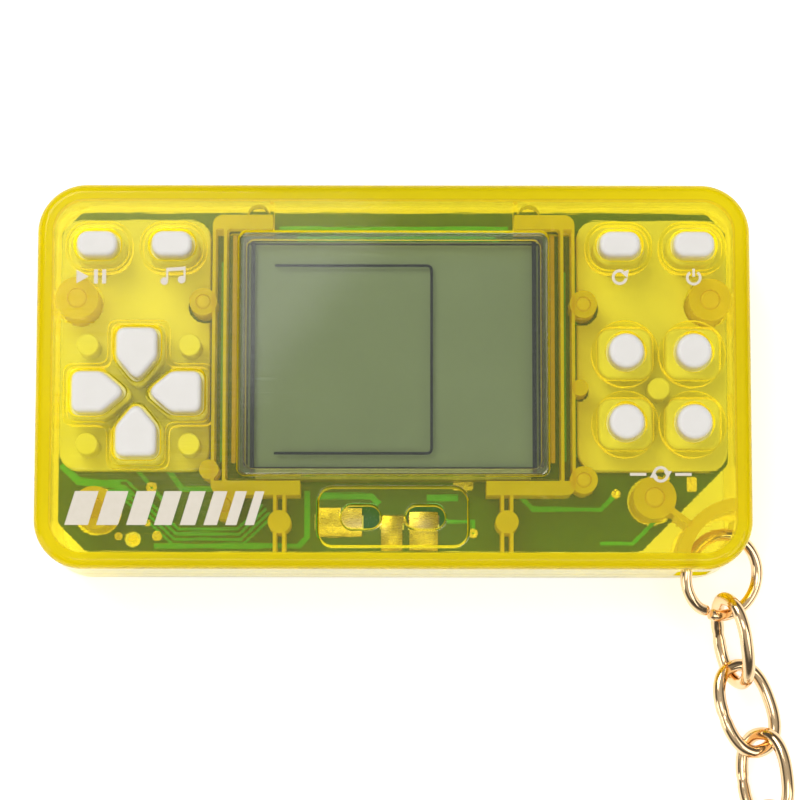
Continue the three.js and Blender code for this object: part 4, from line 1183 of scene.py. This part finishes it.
def bent_strip(name, x, path, thick, crown=0.0, columns=8):
    """Sheet metal between two limits in x, along a path of (y, z), arched across its width by `crown`."""
    vertices, faces = [], []
    rows = len(path)
    for side in (0.5, -0.5):
        for i, (y, z) in enumerate(path):
            before, after = Vector(path[max(i - 1, 0)]), Vector(path[min(i + 1, rows - 1)])
            way = (after - before).normalized()
            normal = Vector((way.y, -way.x)) if way.x < 0 else Vector((-way.y, way.x))
            for j in range(columns + 1):
                u = 2 * j / columns - 1
                out = side * thick + crown * (1 - u * u)
                across = (x[0] + x[1]) / 2 + u * (x[1] - x[0]) / 2
                vertices.append((across, y + normal.x * out, z + normal.y * out))
    wide = columns + 1
    sheet = rows * wide
    for i in range(rows - 1):
        for j in range(columns):
            a = i * wide + j
            faces.append((a, a + 1, a + wide + 1, a + wide))
            faces.append((sheet + a, sheet + a + wide, sheet + a + wide + 1, sheet + a + 1))
        for a, b in ((i * wide, (i + 1) * wide), ((i + 1) * wide + columns, i * wide + columns)):
            faces.append((a, b, sheet + b, sheet + a))
    for j in range(columns):
        first, last = j, (rows - 1) * wide + j
        faces.append((first + 1, first, sheet + first, sheet + first + 1))
        faces.append((last, last + 1, sheet + last + 1, sheet + last))
    return new_object(name, vertices, faces)


def build_contacts():
    """Battery contacts: a blade over each cell, and tabs that come up through the board and lie along it."""
    under = BOARD_BOTTOM - 0.2
    contacts = (("contact_positive", "cell_1", TABS[:1]), ("contact_negative", "cell_2", TABS[1:]))
    for name, cell, tabs in contacts:
        cx, cy = middle(cell)
        left = min([cx - 1.5] + [tab[0] for tab in tabs])
        right = max([cx + 1.5] + [tab[1] for tab in tabs])
        outlines = (
            rounded_rect(cx, cy, 5, 7, 1, 5), rounded_rect(cx, (cy - 12.5) / 2, 3, 12.5 + cy, 0.1, 2),
            rounded_rect((left + right) / 2, -13.2, right - left, 1.8, 0.3, 3),
        )
        parts = [block("blade", outline, under, under + 0.18, 0.04, 0.04, 2) for outline in outlines]
        for x0, x1, low, high in tabs:
            lie = BOARD_TOP + 0.16
            riser = [(-14.0, under + 0.05), (-14.0, lie + 0.1)]
            wave = [
                (high, lie), (high - 0.5, lie + 0.1), ((high + low) / 2, lie + 0.16), (low + 0.6, lie + 0.08),
                (low, lie - 0.06),
            ]
            parts.append(bent_strip("riser", (x0, x1), riser, 0.18))
            parts.append(bent_strip("tab", (x0, x1), wave, 0.18, 0.16 if x1 - x0 < 3.5 else 0.03))
        finish_piece(merged(name + "_sheet", parts), brass, "brass", "case", [name])


def carry_over():
    """CAD nodes whose shape is right keep it, with a bevel and a proper material."""
    for name, material, width in (
        ("contact_bridge", brass, 0.05), ("zebra_strip", zebra, 0.12), ("foam_strip", foam, 0.25),
    ):
        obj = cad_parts[name]
        obj.data.materials.clear()
        obj.data.materials.append(material)
        bevel = obj.modifiers.new("bevel", "BEVEL")
        bevel.width = width * MM
        bevel.segments = 2
        bevel.limit_method = "ANGLE"
        bevel.angle_limit = math.radians(40)


# ---- Chain ----
def lie_of(node):
    """A chain piece's centre and its normal, long and short directions, from its CAD mesh."""
    points = np.array([v.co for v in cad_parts[node].data.vertices]) / MM
    centre = points.mean(axis=0)
    _, axes = np.linalg.eigh(np.cov((points - centre).T))
    normal = Vector(axes[:, 0])
    if normal.z < 0:
        normal.negate()
    long = Vector(axes[:, 2])
    return Vector(centre), normal, long, normal.cross(long)


def circle_centre(node, normal):
    """The centre of a ring that may have a gap, by least squares in its own plane."""
    points = np.array([v.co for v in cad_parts[node].data.vertices]) / MM
    middle_point = points.mean(axis=0)
    one = np.array(normal.orthogonal().normalized())
    two = np.cross(np.array(normal), one)
    flat_points = np.stack([(points - middle_point) @ one, (points - middle_point) @ two], axis=1)
    left = np.column_stack([2 * flat_points, np.ones(len(flat_points))])
    found = np.linalg.lstsq(left, (flat_points**2).sum(axis=1), rcond=None)[0]
    return Vector(middle_point + found[0] * one + found[1] * two)


def build_link(name):
    """A chain link: round wire bent to an oval, its closed joint on one long side."""
    centre, _, long, short = lie_of(name)
    path = []
    steps = 96
    for step in range(steps):
        angle = 2 * math.pi * (step + 0.5) / steps + math.pi / 2
        c, s = math.cos(angle), math.sin(angle)
        x = math.copysign(abs(c) ** LINK["square"], c) * LINK["long"]
        y = math.copysign(abs(s) ** LINK["square"], s) * LINK["short"]
        path.append(centre + long * x + short * y)
    normal = long.cross(short)
    radii = [LINK["wire"]] * steps
    radii[0] = radii[-1] = LINK["wire"] * 0.9
    link = sweep(name + "_wire", path, radii, 28, True, normal)
    finish_piece(link, gold, "gold_plate", name, [name], 60)


def build_corner_ring():
    """The jump ring through the corner of the case, its cut ends a little apart and out of line."""
    normal = lie_of("corner_ring")[1]
    centre = circle_centre("corner_ring", normal)
    towards = Vector((*RING["gap_towards"], 0))
    one = (towards - normal * towards.dot(normal)).normalized()
    two = normal.cross(one)
    steps = 110
    path, radii = [], []
    for step in range(steps + 1):
        angle = math.radians(RING["gap"] / 2 + (360 - RING["gap"]) * step / steps)
        apart = max(0.0, (step / steps - 0.9) / 0.1)
        radius = RING["radius"] - 0.22 * apart * apart
        drop = -0.25 * apart
        path.append(centre + one * radius * math.cos(angle) + two * radius * math.sin(angle) + normal * drop)
        radii.append(RING["wire"] * (0.86 if step in (0, steps) else 1.0))
    ring = sweep("corner_ring_wire", path, radii, 28, False, normal)
    finish_piece(ring, gold, "gold_plate", "corner_ring", ["corner_ring"], 50)


def build_key_ring():
    """The split ring at the chain's far end: nearly two turns of wire, one on the other."""
    normal = lie_of("key_ring")[1]
    centre = circle_centre("key_ring", normal)
    link_centre = lie_of("chain_link_5")[0]
    away = centre - link_centre
    one = (away - normal * away.dot(normal)).normalized()
    two = normal.cross(one)
    steps = 220
    path, radii = [], []
    for step in range(steps + 1):
        t = step / steps
        angle = math.radians(KEY_RING["start"]) + t * KEY_RING["coils"] * 2 * math.pi
        lift = (t - 0.5) * KEY_RING["coils"] * KEY_RING["rise"]
        spoke = one * math.cos(angle) + two * math.sin(angle)
        path.append(centre + spoke * KEY_RING["radius"] + normal * lift)
        radii.append(KEY_RING["wire"] * (0.8 if step in (0, steps) else 1.0))
    ring = sweep("key_ring_wire", path, radii, 24, False, normal)
    finish_piece(ring, gold, "gold_plate", "key_ring", ["key_ring"], 50)


# ---- Printed marks: plain symbols in cream ink where the keys are explained ----
def sector(x, y, inner, outer, start, finish, steps=20):
    """A bent bar between two radii."""
    return arc(x, y, outer, start, finish, steps) + arc(x, y, inner, finish, start, steps)


def bar(x, y, width, height, slant=0.0):
    """An upright bar, leaning right by `slant`."""
    half, tall = width / 2, height / 2
    low, high = x - slant / 2, x + slant / 2
    return [(low - half, y - tall), (low + half, y - tall), (high + half, y + tall), (high - half, y + tall)]


def pointer(x, y, size, turn):
    """A small arrowhead."""
    return placed([(size, 0), (-size * 0.6, size * 0.9), (-size * 0.6, -size * 0.9)], x, y, turn)


def printed_shapes():
    """The outlines of all marks: symbols under the function and action keys, and a row of bars."""
    shapes = []
    y = SYMBOL_Y
    x = middle("key_start_pause")[0] - 0.9
    shapes += [pointer(x - 0.7, y, 0.75, 0), bar(x + 0.75, y, 0.4, 1.4), bar(x + 1.55, y, 0.4, 1.4)]
    x = middle("key_music")[0] + 0.4
    shapes += [disc(x - 1.15, y - 0.45, 0.38, 20)(), disc(x + 0.55, y - 0.3, 0.38, 20)()]
    shapes += [bar(x - 0.87, y + 0.2, 0.2, 1.3), bar(x + 0.83, y + 0.35, 0.2, 1.3)]
    shapes.append([(x - 0.97, y + 0.5), (x + 0.93, y + 0.65), (x + 0.93, y + 1.0), (x - 0.97, y + 0.85)])
    x = middle("key_reset")[0]
    shapes += [sector(x, y, 0.5, 0.78, 60, 350), pointer(x + 0.6, y + 0.35, 0.45, -70)]
    x = middle("key_power")[0]
    shapes += [sector(x, y - 0.05, 0.5, 0.76, 125, 415), bar(x, y + 0.45, 0.24, 0.8)]
    x, y = ACTION_CENTRE[0], TURN_SYMBOL_Y
    shapes += [sector(x, y, 0.52, 0.8, 20, 165), pointer(x + 0.68, y + 0.05, 0.45, -90)]
    shapes += [sector(x, y, 0.52, 0.8, 200, 345), pointer(x - 0.68, y - 0.05, 0.45, 90)]
    shapes += [bar(x + side * 2.2, y, 1.6, 0.28) for side in (-1, 1)]
    x = TITLE_BARS["x"]
    for number in range(TITLE_COUNT):
        width = TITLE_BARS["widest"] - number * TITLE_BARS["step"]
        shapes.append(bar(x + width / 2, TITLE_BARS["y"], width, TITLE_BARS["height"], TITLE_BARS["slant"]))
        x += width + TITLE_BARS["gap"]
    return shapes


def build_print():
    """The ink on the case's face, each mark a hair higher than the last so that none share a plane."""
    marks = []
    for i, points in enumerate(printed_shapes()):
        lift = 0.0003 * i
        marks.append(loft("mark", [(points, TOP + 0.004 + lift), (points, TOP + INK_THICK + lift)]))
    finish_piece(merged("printed_marks", marks), ink, "component", "case")


# ---- Studio ----
FLOOR_SIZE = 2.2  # metres
FLOOR_CELLS = 24  # squares along each side


def build_floor():
    """A plain pale sheet just under the case, glowing a little so that it stays white."""
    vertices, faces = [], []
    for i in range(FLOOR_CELLS + 1):
        for j in range(FLOOR_CELLS + 1):
            x, y = ((step / FLOOR_CELLS - 0.5) * FLOOR_SIZE for step in (i, j))
            vertices.append((x, y, -0.00005))
    for i in range(FLOOR_CELLS):
        for j in range(FLOOR_CELLS):
            a = i * (FLOOR_CELLS + 1) + j
            faces.append((a, a + FLOOR_CELLS + 1, a + FLOOR_CELLS + 2, a + 1))
    floor = bpy.data.meshes.new("floor")
    floor.from_pydata(vertices, [], faces)
    ground = bpy.data.objects.new("floor", floor)
    bpy.context.scene.collection.objects.link(ground)
    material, tree = new_material("floor_white")
    paper = noise(tree, 0.4, 4.0)
    diffuse = add(tree, "BsdfDiffuse", {"Color": tint(tree, paper, (0.90, 0.90, 0.895), (0.93, 0.93, 0.925))})
    glow = add(tree, "Emission", {"Color": (1, 1, 1, 1), "Strength": 0.5})
    both = add(tree, "AddShader", {0: diffuse.outputs["BSDF"], 1: glow.outputs["Emission"]})
    end(tree, both.outputs["Shader"])
    floor.materials.append(material)


# How bright the studio's walls are, from straight down (0) to straight up (1).
SKY_BANDS = ((0.0, 0.9), (0.5, 0.95), (0.56, 0.85), (0.62, 0.14), (0.78, 0.12), (0.86, 0.6), (1.0, 0.75))


def build_world():
    """White studio walls with a dark band, which gives the metal its dark streaks."""
    world = bpy.data.worlds.new("studio")
    bpy.context.scene.world = world
    world.use_nodes = True
    tree = world.node_tree
    tree.nodes.clear()
    up = add(tree, "SeparateXYZ", {"Vector": add(tree, "TexCoord").outputs["Generated"]}).outputs["Z"]
    ramp = add(tree, "ValToRGB", {"Fac": spread(tree, up, 0.0, 1.0, -1.0, 1.0)})
    stops = ramp.color_ramp.elements
    for i, (place, level) in enumerate(SKY_BANDS):
        stop = stops[i] if i < 2 else stops.new(place)
        stop.position = place
        stop.color = (level, level, level, 1)
    background = add(tree, "Background", {"Color": ramp.outputs["Color"], "Strength": 0.75})
    out = add(tree, "OutputWorld")
    tree.links.new(background.outputs["Background"], out.inputs["Surface"])


def build_lamps():
    """Soft boxes: three above, one to each side. The small one leaves a haze on the window's corner."""
    lamp("key_light", (-0.25, 0.32, 0.60), (0.36, 0.36), 2.1)
    lamp("front_light", (0.02, -0.13, 0.60), (0.34, 0.16), 0.45)
    haze = lamp("haze_light", (-0.062, 0.118, 0.60), (0.10, 0.085), 0.03)
    haze.rotation_euler.rotate_axis("Z", math.radians(24))
    lamp("fill_light", (0.45, -0.25, 0.45), (0.35, 0.35), 0.8)
    lamp("rim_light", (-0.5, -0.25, 0.25), (0.25, 0.3), 0.5)


def lamp(name, place, size, power):
    """A soft box aimed at the middle of the case."""
    data = bpy.data.lights.new(name, "AREA")
    data.shape = "RECTANGLE"
    data.size, data.size_y = size
    data.energy = power
    obj = bpy.data.objects.new(name, data)
    bpy.context.scene.collection.objects.link(obj)
    obj.location = place
    obj.rotation_euler = (Vector((0, 0, 0.007)) - Vector(place)).to_track_quat("-Z", "Y").to_euler()
    return obj


CAMERA_AT = Vector((0.7, -40.0, 314.0)) * MM
CAMERA_AIM = Vector((0.65, -2.5, 14.0)) * MM
PICTURE_SPAN = 77.97  # what the picture spans at the case's face, in millimetres
SENSOR = 36


def build_camera():
    """A camera almost straight above the face, a little towards its lower edge."""
    data = bpy.data.cameras.new("camera")
    obj = bpy.data.objects.new("camera", data)
    bpy.context.scene.collection.objects.link(obj)
    bpy.context.scene.camera = obj
    obj.location = CAMERA_AT
    way = CAMERA_AIM - CAMERA_AT
    obj.rotation_euler = way.to_track_quat("-Z", "Y").to_euler()
    data.sensor_width = SENSOR
    data.lens = SENSOR * way.length / (PICTURE_SPAN * MM)
    data.clip_start = 0.01
    data.clip_end = 10


build_rear_shell()
build_front_shell()
build_posts()
build_door()
build_lens()
build_screen()
build_board()
for key_name, key_outline, key_turn in KEYS:
    build_key(key_name, key_outline, key_turn)
build_keypad(-1)
build_keypad(1)
for number in range(1, 5):
    build_screw(f"case_screw_{number}", 1.55, 1.0, 0.85)
    build_screw(f"board_screw_{number}", 1.25, 0.75, 0.6)
build_screw("door_screw", 1.45, 0.6, 0.68, "door_screw")
build_cell("cell_1", False)
build_cell("cell_2", True)
build_chip()
build_component("capacitor")
build_component("resistor")
build_buzzer()
build_contacts()
carry_over()
build_corner_ring()
for number in range(1, 6):
    build_link(f"chain_link_{number}")
build_key_ring()
build_print()
build_floor()
build_world()
build_lamps()
build_camera()

scene = bpy.context.scene
scene.view_settings.view_transform = "Standard"
scene.cycles.transparent_max_bounces = 24
scene.cycles.max_bounces = 9
scene.cycles.diffuse_bounces = 3
